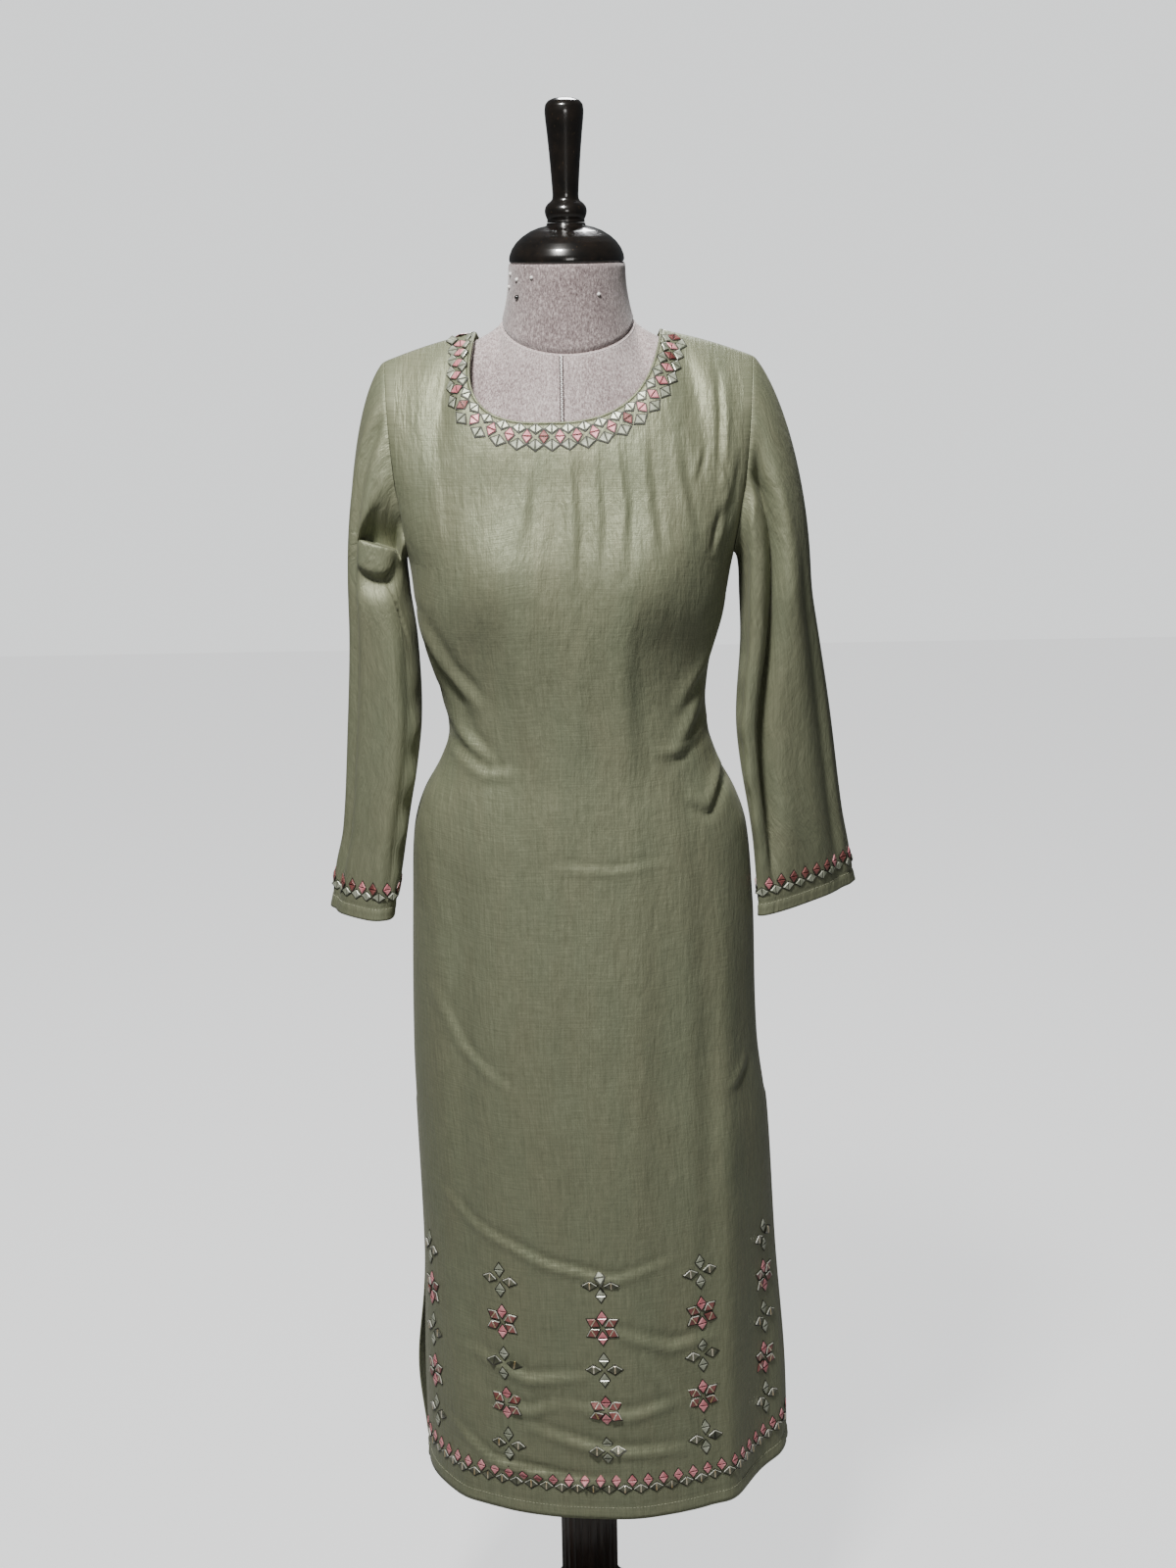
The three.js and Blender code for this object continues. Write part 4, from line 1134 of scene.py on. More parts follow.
def sample_loop(places, pitch, offset=0.0):
    """Stations at an even pitch round a closed path: index and fraction of each."""
    steps = np.linalg.norm(np.roll(places, -1, axis=0) - places, axis=1)
    walked = np.concatenate([[0], np.cumsum(steps)])
    count = int(round(walked[-1] / pitch))
    at = (np.arange(count) + offset) * walked[-1] / count
    index = np.clip(np.searchsorted(walked, at, side="right") - 1, 0, len(places) - 1)
    return index, (at - walked[index]) / steps[index]


def between(values, index, fraction):
    ahead = np.roll(values, -1, axis=0)
    return values[index] * (1 - fraction)[:, None] + ahead[index] * fraction[:, None]


reached, _ = walk_cloth(neck_places[NECK_STEPS], neck_away[NECK_STEPS], 10)
print("10 mm out from the middle of the neckline:", reached.round(1))

# %% The three rows round the neck
NECK_PITCH = 15.0
SHOULDER_RIDGE = 4.5
# Row, offset in pitches, distance from the edge, long and short side of the bead.
NECK_ROWS = [("inner", 0.5, 4.6, (12.8, 9.0)), ("middle", 0.0, 12.2, (13.2, 9.0)),
             ("outer", 0.5, 20.4, (14.2, 10.0))]
draw = random.Random(5)
for row, offset, distance, size in NECK_ROWS:
    index, fraction = sample_loop(neck_places, NECK_PITCH, offset)
    stations_here = zip(between(neck_places, index, fraction), between(neck_away, index, fraction),
                        between(neck_along, index, fraction), between(neck_normals, index, fraction))
    for edge, away, along, out in stations_here:
        place, way = walk_cloth(edge, away, distance)
        if row == "middle":
            shade = "maroon" if draw.random() < 0.16 else "pink"
            plan_bead(shade, place, way, out, "neck", size)
        elif abs(place[1]) >= SHOULDER_RIDGE:
            plan_bead("silver", place, np.cross(way, out), out, "neck", size)
print("neck beads:", len(bead_plan))

# %% Beads along the hem
def rows_at_distance(points, distance, from_end):
    """For each column, the point at a distance along the cloth from its first or last row."""
    grid = points[::-1] if from_end else points
    walked = lengths_along(grid, 0)
    return np.array([[np.interp(distance, walked[:, c], grid[:, c, k]) for k in range(3)]
                     for c in range(grid.shape[1])])


def stations(path, spacing, offset, margin):
    """Places and directions along an open path, spaced evenly from its middle."""
    walked = lengths_along(path)
    middle = walked[-1] / 2
    reach = int((middle - margin - offset) // spacing)
    at = middle + offset + spacing * np.arange(-reach - (offset > 0), reach + 1)
    at = at[(at > margin) & (at < walked[-1] - margin)]
    ahead = np.array([np.interp(at + 1, walked, path[:, k]) for k in range(3)]).T
    behind = np.array([np.interp(at - 1, walked, path[:, k]) for k in range(3)]).T
    return (ahead + behind) / 2, unit(ahead - behind)


HEM_PITCH = 16.2
HEM_MARGIN = 6
HEM_ROWS = {"low": 33.5, "high": 42.5}
UP = np.array([0, 0, 1.0])
for side, points in panel_points.items():
    group = "front" if side == FRONT else "back"
    low_path = rows_at_distance(points, HEM_ROWS["low"], False)
    high_path = rows_at_distance(points, HEM_ROWS["high"], False)
    places, lines = stations(low_path, HEM_PITCH, 0, HEM_MARGIN)
    for place, line in zip(places, lines):
        out = np.cross(line, UP) * (1 if side == FRONT else -1)
        plan_bead("edged", place, line * side, out, group, (13.6, 9.2))
    places, lines = stations(high_path, HEM_PITCH, HEM_PITCH / 2, HEM_MARGIN)
    for place, line in zip(places, lines):
        plan_bead("pink", place, UP, np.cross(line, UP), group, (12.8, 9.0))
print("with the hem:", len(bead_plan))

# %% Beads round the cuffs
CUFF_PITCH = 14.4
CUFF_ROWS = {"silver": 25, "tall": 33}
CUFF_BEAD = (12.4, 8.6)
DARKER_SHARE = {LEFT: 0.35, RIGHT: 0.65}
for hand, points in sleeve_points.items():
    group = "left_cuff" if hand == LEFT else "right_cuff"
    centre = rows_at_distance(points, CUFF_ROWS["silver"], True).mean(axis=0)
    for kind, distance in CUFF_ROWS.items():
        path = rows_at_distance(points, distance, True)
        spots = between(path, *sample_loop(path, CUFF_PITCH))
        if kind == "tall":
            spots = (spots + np.roll(spots, -1, axis=0)) / 2
        for spot, way in zip(spots, round_ways(spots)):
            out = np.cross(way, UP)
            if np.dot(out, spot - centre) < 0:
                out = -out
            if kind == "silver":
                plan_bead("silver", spot, way, out, group, CUFF_BEAD)
            else:
                shade = "maroon" if draw.random() < DARKER_SHARE[hand] else "pink"
                plan_bead(shade, spot, UP, out, group, CUFF_BEAD)
print("with the cuffs:", len(bead_plan))

# %% [markdown]
# ## The star motifs
# Five columns of five motifs climb from the border of each skirt panel: a silver flower of four
# petals, a rose star of six, and so on, with silver at both ends. Each petal is again the same bead,
# turned to point away from the middle of its motif.

# %% Place the motifs
MOTIF_COLUMNS = (-208, -104, 0, 104, 208)
MOTIF_FIRST = 77
MOTIF_RISE = 45.5
PETAL_RADIUS = 10.8
PETAL = (14.4, 9.4)


def motif_place(points, aside, above):
    """Place, direction along the hem and direction up, at a distance above the hem."""
    path = rows_at_distance(points, above, False)
    higher = rows_at_distance(points, above + 2, False)
    walked = lengths_along(path)
    at = walked[MIDDLE] + aside
    spot, ahead, over = (
        np.array([np.interp(at + more, walked, line[:, k]) for k in range(3)])
        for more, line in ((0, path), (1, path), (0, higher)))
    return spot, unit(ahead - spot), unit(over - spot)


def plan_motif(spot, way, up, out, petals, group):
    """Notes the petals of one motif: four make a silver flower, six a rose star."""
    for p in range(petals):
        angle = math.pi / 2 + p * 2 * math.pi / petals
        direction = math.cos(angle) * way + math.sin(angle) * up
        upright = abs(math.sin(angle)) > 0.9
        if petals == 4:
            kind = "silver" if upright else "edged"
        else:
            kind = "pink" if upright else "edged_rose"
        axis = direction
        if kind.startswith("edged"):
            flat = np.cross(direction, out)
            axis = direction if flat[2] > 0 else -direction
        plan_bead(kind, spot + direction * PETAL_RADIUS, axis, out, group, PETAL)


for side, points in panel_points.items():
    group = "front" if side == FRONT else "back"
    for aside in MOTIF_COLUMNS:
        for k in range(5):
            spot, way, up = motif_place(points, aside, MOTIF_FIRST + k * MOTIF_RISE)
            out = np.cross(way, up) * (1 if side == FRONT else -1)
            plan_motif(spot, way, up, out, 4 if k % 2 == 0 else 6, group)
print("with the motifs:", len(bead_plan))

# %% [markdown]
# ## Bead finishes
# Rose and silver beads are glossy with a slightly uneven colour, so neighbours never match exactly.
# The dark beads' colour is a painted reflection of a dark room; the bars are pale gold metal, the pale
# ridges are a painted highlight, and the near-black plate under each bead is a painted shadow.
# Each bead could get a material of its own, but a coarse noise on Object coordinates gives each its
# own tone for less, because a bead is about as large as one cell of the noise.

# %% Make the bead materials
def bead_material(name, dark, light, roughness, metallic, coat=0.0):
    material, nodes, links, shader = start_material(
        name, roughness, Metallic=metallic, Coat_Weight=coat, Coat_Roughness=0.12)
    place = object_place(nodes)
    tone = noise(nodes, links, place, 95, 1.0)
    colour = ramp(nodes, links, tone, [(0.32, dark), (0.68, light)])
    links.new(colour, shader.inputs["Base Color"])
    stripes = noise(nodes, links, stretched(nodes, links, place, (700, 700, 2600)), 1.0, 1.0)
    vary_roughness(nodes, links, shader, stripes, max(roughness - 0.1, 0.05), roughness + 0.12)
    bump_normal(nodes, links, shader, stripes, 0.35, 0.0002)
    return material


BEAD_MATERIALS = {
    "pink": (bead_material("rose_beads", (0.46, 0.13, 0.15), (0.74, 0.31, 0.34), 0.34, 0.1, 0.3),
             "bead_pink"),
    "maroon": (bead_material("deep_rose_beads", (0.13, 0.035, 0.033), (0.30, 0.105, 0.095), 0.28, 0.15, 0.5),
               "bead_maroon"),
    "silver": (bead_material("silver_beads", (0.22, 0.24, 0.175), (0.44, 0.46, 0.375), 0.36, 0.3, 0.25),
               "bead_silver"),
    # Colour of the wide edged beads: a painted reflection of the dark room.
    "dark": (bead_material("painted_reflection_beads", (0.040, 0.043, 0.028), (0.15, 0.155, 0.105), 0.25, 0.3, 0.5),
             "bead_dark"),
    "metal": (bead_material("gold_bars", (0.60, 0.45, 0.22), (0.92, 0.88, 0.76), 0.28, 0.8),
              "bead_metal"),
    # Pale ridges on the upper edges of the edged beads: a painted highlight.
    "bright": (bead_material("painted_highlight_ridges", (0.50, 0.52, 0.43), (0.78, 0.78, 0.70), 0.3, 0.35),
               "bead_silver"),
    # Near black, under every bead: a painted shadow.
    "ground": (bead_material("bead_painted_shadow", (0.012, 0.012, 0.008), (0.030, 0.028, 0.020), 0.6, 0.0),
               "thread"),
}
print("bead finishes:", sorted(BEAD_MATERIALS))

# %% Join the beads into pieces
# Here the dark finish is a painted reflection, the bright ridges are a painted highlight and the plate under
# every bead is a painted shadow.
RECIPES = {
    "pink": [("bead", "pink"), ("ground", "ground")],
    "maroon": [("bead", "maroon"), ("ground", "ground")],
    "silver": [("bead", "silver"), ("ground", "ground")],
    "edged": [("bead", "dark"), ("ground", "ground"), ("ridge", "bright"), ("bar", "metal")],
    "edged_rose": [("bead", "maroon"), ("ground", "ground"), ("ridge", "bright"), ("bar", "metal")],
}


LOST_SHARE = 0.12


def add_copy(bm, template, matrix):
    """Adds one placed copy of a template mesh to a bmesh."""
    first = len(bm.verts)
    bm.from_mesh(template)
    bm.verts.ensure_lookup_table()
    bmesh.ops.transform(bm, matrix=matrix, verts=bm.verts[first:])


def join_beads():
    """One mesh for each finish in each group, so that a finish is one piece per region."""
    meshes = {}
    for kind, matrix, group in bead_plan:
        for shape, finish in RECIPES[kind]:
            if shape in ("bar", "ridge") and draw.random() < LOST_SHARE:
                continue
            if (group, finish) not in meshes:
                meshes[group, finish] = bmesh.new()
            add_copy(meshes[group, finish], TEMPLATES[shape], matrix)
    pieces = {}
    for (group, finish), bm in meshes.items():
        material, slot_name = BEAD_MATERIALS[finish]
        pieces[(group, finish)] = finish_piece(f"{group}_{finish}_beads", bm, material, False)
    return pieces


bead_pieces = join_beads()
for template in TEMPLATES.values():
    bpy.data.meshes.remove(template)
print("bead pieces:", len(bead_pieces), "faces:", sum(len(p.data.polygons) for p in bead_pieces.values()))

# %% [markdown]
# ## Stitch lines
# The turned-up hem and cuffs are held by a line of running stitches. A stitch line could be painted
# on, but real ones catch the light: each is a tiny bar in thread a little paler than the cloth, 2.4 mm
# long, with half that space after it. A matrix lays each one on the nearest point of the cloth.

# %% Thread, and copies on a surface
def speckled_material(name, colour, scale, shade, roughness, **sockets):
    """One colour with slightly darker specks."""
    material, nodes, links, shader = start_material(name, roughness, **sockets)
    specks = noise(nodes, links, object_place(nodes), scale, 1.0)
    tone = ramp(nodes, links, specks, [(0.3, tuple(c * shade for c in colour)), (0.7, colour)])
    links.new(tone, shader.inputs["Base Color"])
    return material


def thread_material(name, colour):
    return speckled_material(name, colour, 2200, 0.8, 0.75, Sheen_Weight=0.2)


def join_copies(name, template, matrices, material, smooth=False):
    """One piece made of many placed copies of a template mesh, which is then removed."""
    bm = bmesh.new()
    for matrix in matrices:
        add_copy(bm, template, matrix)
    bpy.data.meshes.remove(template)
    return finish_piece(name, bm, material, smooth)


def on_surface(tree, place, direction):
    """A matrix in millimetres on the nearest surface, its X axis along a direction."""
    spot, up, _, _ = tree.find_nearest(Vector(place) * MM)
    along = Vector(direction)
    along = (along - up * along.dot(up)).normalized()
    matrix = Matrix((along, up.cross(along), up)).transposed().to_4x4()
    matrix.translation = spot
    return matrix @ Matrix.Scale(MM, 4)


PALE_THREAD = thread_material("pale_green_thread", (0.36, 0.37, 0.26))
print(PALE_THREAD.name, "is ready")

# %% Sew the hem and the cuffs
STITCH_PITCH = 3.6
hem_stitches = []
for points in panel_points.values():
    places, lines = stations(rows_at_distance(points, TURNED_HEM, False), STITCH_PITCH, 0, 3)
    hem_stitches += list(zip(places, lines))
for points in sleeve_points.values():
    path = rows_at_distance(points, TURNED_HEM, True)
    spots = between(path, *sample_loop(path, STITCH_PITCH))
    hem_stitches += list(zip(spots, round_ways(spots)))
small_stitch = as_mesh("small_stitch", bar((-1.2, 0), (1.2, 0), 0.45, -0.1, 0.3))
join_copies("hem_and_cuff_stitches", small_stitch,
            [on_surface(cloth_tree, place, way) for place, way in hem_stitches], PALE_THREAD)
print("stitches in hem and cuffs:", len(hem_stitches))

# %% [markdown]
# ## The dress form
# The form is a padded shell under a knitted cover, with no arms or head. Only its chest and neck show,
# but it is whole, and it stays clear of the cloth. A body could be sculpted, but the way of the
# panels serves again: sections up to the chest, and columns that end on the curved neck seam or on
# the ridge of the shoulder. Its sizes repeat the frame's.

# %% Sizes of the form
FORM_BOTTOM_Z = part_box("form_torso")[0][2] / MM
FORM_KEYS = [
    (690, -146, 146, 98, 100, 2.2),
    (760, -156, 158, 105, 110, 2.2),
    (874, -157, 160, 106, 112, 2.2),
    (948, -148, 150, 100, 102, 2.2),
    (1019, -122, 124, 92, 84, 2.2),
    (1065, -112, 112, 88, 75, 2.2),
    (1139, -128, 124, 98, 78, 2.2),
    (1222, -146, 144, 106, 83, 2.3),
    (1290, -158, 158, 90, 78, 2.3),
]
FORM_NECK_X = 64
FORM_SEAM_SIDE_Z = 1447
FORM_SEAM = {FRONT: (-58, 1419), BACK: (56, 1450)}
FORM_SHOULDER = (166, 1402)
FORM_NECK_COLUMNS = 0.42
NECK_TOP_RADIUS = 56
NECK_TOP_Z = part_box("form_neck")[1][2] / MM
HALF_COLUMNS = 60
LOWER_STEPS = 90
SHOULDER_RINGS = 30
print("form from", round(FORM_BOTTOM_Z), "to", round(NECK_TOP_Z), "mm")

# %% Points of the form
def form_top(side, shares):
    """The neck seam in the middle and the shoulder ridge outside it."""
    amount, hand = np.abs(shares), np.where(shares < 0, -1, 1)
    seam_y, seam_z = FORM_SEAM[side]
    angle = np.clip(amount / FORM_NECK_COLUMNS, 0, 1) * math.pi / 2
    drop = np.maximum(np.cos(angle), 0)
    out = np.clip((amount - FORM_NECK_COLUMNS) / (1 - FORM_NECK_COLUMNS), 0, 1)
    on_neck = amount <= FORM_NECK_COLUMNS
    x = np.where(on_neck, FORM_NECK_X * np.sin(angle), mix(FORM_NECK_X, FORM_SHOULDER[0], out))
    y = np.where(on_neck, seam_y * drop, side * 5.0 * smooth_step(0, 0.08, out))
    ridge = FORM_SEAM_SIDE_Z - (FORM_SEAM_SIDE_Z - FORM_SHOULDER[1]) * out**0.7
    z = np.where(on_neck, FORM_SEAM_SIDE_Z + (seam_z - FORM_SEAM_SIDE_Z) * drop, ridge)
    y = np.where(amount >= 0.999, 0, y)
    return np.stack([hand * x, y, z], axis=-1)


def form_upper(side, shares, t):
    """Points between the chest (t = 0) and the top of the form (t = 1)."""
    amount, hand = np.abs(shares), np.where(shares < 0, -1, 1)
    start = section_points(FORM_KEYS, side, CHEST_Z, shares)
    end = form_top(side, shares)
    rise = end[..., 2] - start[..., 2]
    on_shoulder = smooth_step(0.2, 0.6, amount)
    first = start + np.stack([0 * rise, -side * rise * 0.16, rise * 0.36], axis=-1)
    back = rise * mix(0.09, 0.3, on_shoulder) * (1 - 0.6 * smooth_step(0.8, 1, amount))
    down = -rise * mix(0.25, 0.12, on_shoulder)
    second = end + np.stack([hand * 3 * smooth_step(0.7, 1, amount), side * back, down], axis=-1)
    return bezier(start, first, second, end, t)


def form_rings():
    """Closed rings from the underside of the form up to its neck seam."""
    forward = 2 * np.arange(HALF_COLUMNS) / HALF_COLUMNS - 1
    rings = []
    for r in range(LOWER_STEPS + 1):
        z = mix(FORM_BOTTOM_Z, CHEST_Z, r / LOWER_STEPS)
        front = section_points(FORM_KEYS, FRONT, z, forward)
        back = section_points(FORM_KEYS, BACK, z, -forward)
        rings.append(np.concatenate([front, back]))
    for r in range(1, SHOULDER_RINGS + 1):
        front = form_upper(FRONT, forward, r / SHOULDER_RINGS)
        back = form_upper(BACK, -forward, r / SHOULDER_RINGS)
        rings.append(np.concatenate([front, back]))
    return np.array(rings)


form_points = form_rings()
print("form grid", form_points.shape)

# %% [markdown]
# ## The knitted cover
# The cover is a heathered jersey: pinkish grey yarn with paler and darker fibres mixed in, and rows
# of tiny loops. It is matt and a little furry, so it has sheen and almost no gloss. Hairs could be
# grown on it, but the noise of the group is enough at this size. The neck's cover is coloured darker
# than the chest's: painted shade, where the dome above shades the neck.

# %% Make the jersey material
def knit_surface():
    group, nodes, links, entry, leave = start_group(
        "Knit surface", [("Vector", "NodeSocketVector", None)],
        [("Heather", "NodeSocketFloat"), ("Height", "NodeSocketFloat")])
    vector = entry.outputs["Vector"]
    fibres = noise(nodes, links, stretched(nodes, links, vector, (640, 640, 300)), 1.0, 4.0, 0.7)
    specks = noise(nodes, links, vector, 900, 2.0, 0.7)
    loops = noise(nodes, links, stretched(nodes, links, vector, (1300, 1300, 700)), 1.0, 1.0)
    cloudy = noise(nodes, links, vector, 16, 2.0)
    heather = combine(nodes, links, "ADD", combine(nodes, links, "MULTIPLY", fibres, 0.6),
                      combine(nodes, links, "MULTIPLY", specks, 0.25))
    heather = combine(nodes, links, "ADD", heather, combine(nodes, links, "MULTIPLY", cloudy, 0.15))
    links.new(heather, leave.inputs["Heather"])
    links.new(combine(nodes, links, "ADD", loops, fibres), leave.inputs["Height"])
    return group


KNIT = knit_surface()


def jersey_material(name, dark, middle, pale):
    material, nodes, links, shader = start_material(
        name, 0.9, Sheen_Weight=0.35, Sheen_Roughness=0.5, Specular_IOR_Level=0.2)
    knit = use_group(nodes, links, KNIT, object_place(nodes))
    colour = ramp(nodes, links, knit.outputs["Heather"],
                  [(0.36, dark), (0.49, middle), (0.62, pale)])
    links.new(colour, shader.inputs["Base Color"])
    bump_normal(nodes, links, shader, knit.outputs["Height"], 0.5, 0.0006)
    return material


JERSEY = jersey_material("chest_jersey", (0.13, 0.090, 0.092), (0.34, 0.280, 0.276), (0.62, 0.55, 0.54))
# The neck's jersey is the chest's made darker: painted shade under the dome.
SHADED_NECK_JERSEY = jersey_material("neck_jersey_painted_shade", (0.07, 0.048, 0.050), (0.20, 0.158, 0.157), (0.44, 0.38, 0.37))
print("jerseys:", JERSEY.name, SHADED_NECK_JERSEY.name)

# %% Build the form's body and neck
NECK_RING_POINTS = 96
NECK_RING_STEPS = 32


def closed_rings(points, bottom_cap, top_cap):
    """A closed shape from rings: the open ends below and above two heights are filled."""
    bm = sheet_mesh(points, loop=True)
    ends = [e for e in bm.edges if e.is_boundary]
    bmesh.ops.contextual_create(bm, geom=[e for e in ends if e.verts[0].co.z < bottom_cap * MM])
    bmesh.ops.contextual_create(bm, geom=[e for e in ends if e.verts[0].co.z > top_cap * MM])
    bmesh.ops.triangulate(bm, faces=[f for f in bm.faces if len(f.verts) > 4])
    bmesh.ops.recalc_face_normals(bm, faces=bm.faces)
    return bm


form_body = finish_piece(
    "form_body", closed_rings(form_points, FORM_BOTTOM_Z + 1, 1380), JERSEY)
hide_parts("form_torso")


def neck_rings():
    """Rings from the curved neck seam up to the round top of the neck."""
    turns = np.arange(NECK_RING_POINTS) / NECK_RING_POINTS * 2 * math.pi
    sideways, forward = np.sin(turns), np.cos(turns)
    front = forward > 0
    seam_y = np.where(front, -FORM_SEAM[FRONT][0], FORM_SEAM[BACK][0])
    seam_z = np.where(front, FORM_SEAM[FRONT][1], FORM_SEAM[BACK][1])
    base_z = FORM_SEAM_SIDE_Z + (seam_z - FORM_SEAM_SIDE_Z) * np.abs(forward) + 0.4
    rings = []
    for r in range(NECK_RING_STEPS + 1):
        t = r / NECK_RING_STEPS
        ease = 1 - (1 - t) ** 2.2
        roll = 2.2 * (1 - smooth_step(0, 0.05, t)) + 1.4 * smooth_step(0.955, 1, t)
        rings.append(np.stack([
            sideways * (mix(FORM_NECK_X, NECK_TOP_RADIUS, ease) - roll),
            -forward * (mix(seam_y, NECK_TOP_RADIUS, ease) - roll),
            mix(base_z, NECK_TOP_Z, t),
        ], axis=-1))
    return np.array(rings)


form_neck = finish_piece("form_neck_cover", closed_rings(neck_rings(), 0, NECK_TOP_Z - 1),
                          SHADED_NECK_JERSEY)
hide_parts("form_neck")
print("form faces:", len(form_body.data.polygons), len(form_neck.data.polygons))

# %% [markdown]
# ## Seams and pins of the form
# The cover closes down the middle of the chest, where two edges of jersey are drawn together by a white
# zigzag stitch; the shade of the shallow valley between them is painted, as a thin dark strip under the
# stitch. A fine line of stitches runs along the curved neck seam, and a few pins were left in the neck.
# A stitch is a short bar and a pin is a small ball, laid on the cover with matrices. The nearest point of
# a surface drifts aside where it slopes, so the places on the chest are found with a ray from straight in
# front.

# %% Sew the chest seam
SEAM_X = -6.5
ZIGZAG_TOP = FORM_SEAM[FRONT][1] - 2
ZIGZAG_RISE = 1.8
ZIGZAG_BARS = 46
ZIGZAG_LEAN = 0.45
RAY_START = -200
cover_tree = search_tree([form_body, form_neck])


def on_chest(x, z):
    """The place on the front of the form straight behind a point in front of it, in millimetres."""
    spot, _, _, _ = cover_tree.ray_cast(Vector((x, RAY_START, z)) * MM, Vector((0, 1, 0)))
    return tuple(spot / MM)


spots = [on_chest(SEAM_X, ZIGZAG_TOP - ZIGZAG_RISE * k) for k in range(ZIGZAG_BARS)]
ways = [(ZIGZAG_LEAN if k % 2 else -ZIGZAG_LEAN, 0, 1) for k in range(ZIGZAG_BARS)]
zigzag = [on_surface(cover_tree, spot, way) for spot, way in zip(spots, ways)]
# Places of the thin dark strip under the zigzag: painted shade of the seam's valley.
painted_seam_shade = [on_surface(cover_tree, spot, (0, 0, 1)) for spot in spots]
join_copies("form_zigzag", as_mesh("stitch", bar((-1.6, 0), (1.6, 0), 1.5, -0.1, 0.9)), zigzag,
            thread_material("white_thread", (0.98, 0.97, 0.96)))
# The dark strip and its thread colour are painted shade.
join_copies("form_seam_painted_shade", as_mesh("painted_seam_shade", bar((-1.1, 0), (1.1, 0), 4.4, -0.2, 0.08)), painted_seam_shade,
            thread_material("seam_shade", (0.21, 0.165, 0.163)))
print("zigzag stitches:", len(zigzag))

# %% Sew the neck seam
NECK_STITCHES = 68
STITCHED_SHARE = 0.985
seam_line = []
for side in (FRONT, BACK):
    shares = np.linspace(-1, 1, NECK_STITCHES + 1) * FORM_NECK_COLUMNS * STITCHED_SHARE
    seam = form_top(side, shares)
    for place, ahead in zip(seam[:-1], seam[1:]):
        seam_line.append(on_surface(cover_tree, (place + ahead) / 2 + (0, 0, -1.2), ahead - place))
join_copies("form_seam_stitches", as_mesh("seam_stitch", bar((-1.1, 0), (1.1, 0), 0.7, -0.1, 0.4)),
            seam_line, thread_material("seam_thread", (0.66, 0.60, 0.59)))
print("stitches in the neck seam:", len(seam_line))

# %% Set the pins
def pin_ball(radius):
    ball = bmesh.new()
    bmesh.ops.create_icosphere(ball, subdivisions=2, radius=radius)
    return as_mesh("pin", ball)


def pins(name, places, colour, radius):
    """Pin heads near a few places of the neck, sunk a little into the cover."""
    spots = [on_surface(cover_tree, place, (0, 0, 1)) @ Matrix.Translation((0, 0, 0.5)) for place in places]
    finish = speckled_material(name, colour, 400, 0.85, 0.2, Coat_Weight=0.5)
    return join_copies(name, pin_ball(radius), spots, finish, True)


pins("white_pins", [(-60, -20, 1493), (-52, -34, 1488), (-36, -50, 1490), (32, -52, 1474),
                    (-58, -16, 1481)], (0.72, 0.70, 0.68), 1.8)
pins("black_pin", [(-52, -36, 1472)], (0.01, 0.01, 0.01), 2.4)
print("pins: 5 white, 1 black")

# %% [markdown]
# ## Cap and handle
# The neck is closed by a turned wooden dome with a handle, lacquered black with fine bronze flecks.
# A lathe shape could be stacked from cylinders and cones, but both are spun from one half outline, as
# a wood turner would cut them, with the corners rounded.

# %% Spin a turned shape
def turned(outline, steps=96):
    """Spins a half outline of (radius, height) in millimetres round the Z axis."""
    bm = bmesh.new()
    verts = [bm.verts.new((radius * MM, 0, z * MM)) for radius, z in outline]
    edges = [bm.edges.new(pair) for pair in zip(verts[:-1], verts[1:])]
    bmesh.ops.spin(bm, geom=verts + edges, cent=(0, 0, 0), axis=(0, 0, 1), dvec=(0, 0, 0),
                   angle=2 * math.pi, steps=steps, use_merge=True, use_duplicate=False)
    bmesh.ops.remove_doubles(bm, verts=bm.verts, dist=SAME_PLACE)
    bmesh.ops.recalc_face_normals(bm, faces=bm.faces)
    return bm


def rounded_outline(corners, radius=1.2):
    """Replaces each corner of an outline with three points of a small round."""
    result = [corners[0]]
    for before, corner, after in zip(corners[:-2], corners[1:-1], corners[2:]):
        b, c, a = (Vector(p) for p in (before, corner, after))
        near = min(radius, (b - c).length * 0.45, (a - c).length * 0.45)
        start, end = c + (b - c).normalized() * near, c + (a - c).normalized() * near
        for t in (0, 0.5, 1):
            result.append(tuple(start * (1 - t) ** 2 + c * 2 * t * (1 - t) + end * t * t))
    return result + [corners[-1]]


def raised(low, profile):
    """A profile of (radius, height above its foot), moved up to the height of its foot."""
    return [(radius, low + height) for radius, height in profile]


cap_low, cap_high = (corner[2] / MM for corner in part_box("neck_cap"))
handle_low, handle_high = (corner[2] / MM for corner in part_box("cap_handle"))
CAP_OUTLINE = raised(cap_low, [
    (0, 0), (54, 0), (55.2, 2.5), (54.6, 7), (52.2, 13), (48, 19), (42, 24.5), (34, 29.5), (26, 32.6),
    (19.5, 34.0), (18.6, 34.6)]) + [(18.6, cap_high - 0.6), (18, cap_high), (0, cap_high)]
HANDLE_OUTLINE = raised(handle_low, [
    (0, 0), (17.8, 0), (18.2, 1.2), (17.6, 2.6), (18.8, 5.0), (19.9, 8.4), (20.1, 11.4), (19.2, 14.8),
    (16.8, 17.8), (13.6, 20.2), (12.5, 22.4), (12.3, 26), (12.9, 36), (14.0, 52), (15.3, 68), (16.8, 84),
    (18.0, 95), (18.5, 102), (17.8, 108)]) + [
    (14.8, handle_high - 3.0), (9.6, handle_high - 0.8), (4, handle_high - 0.1), (0, handle_high)]
print("handle", round(handle_high - handle_low), "mm long, dome", round(cap_high - cap_low), "mm high")

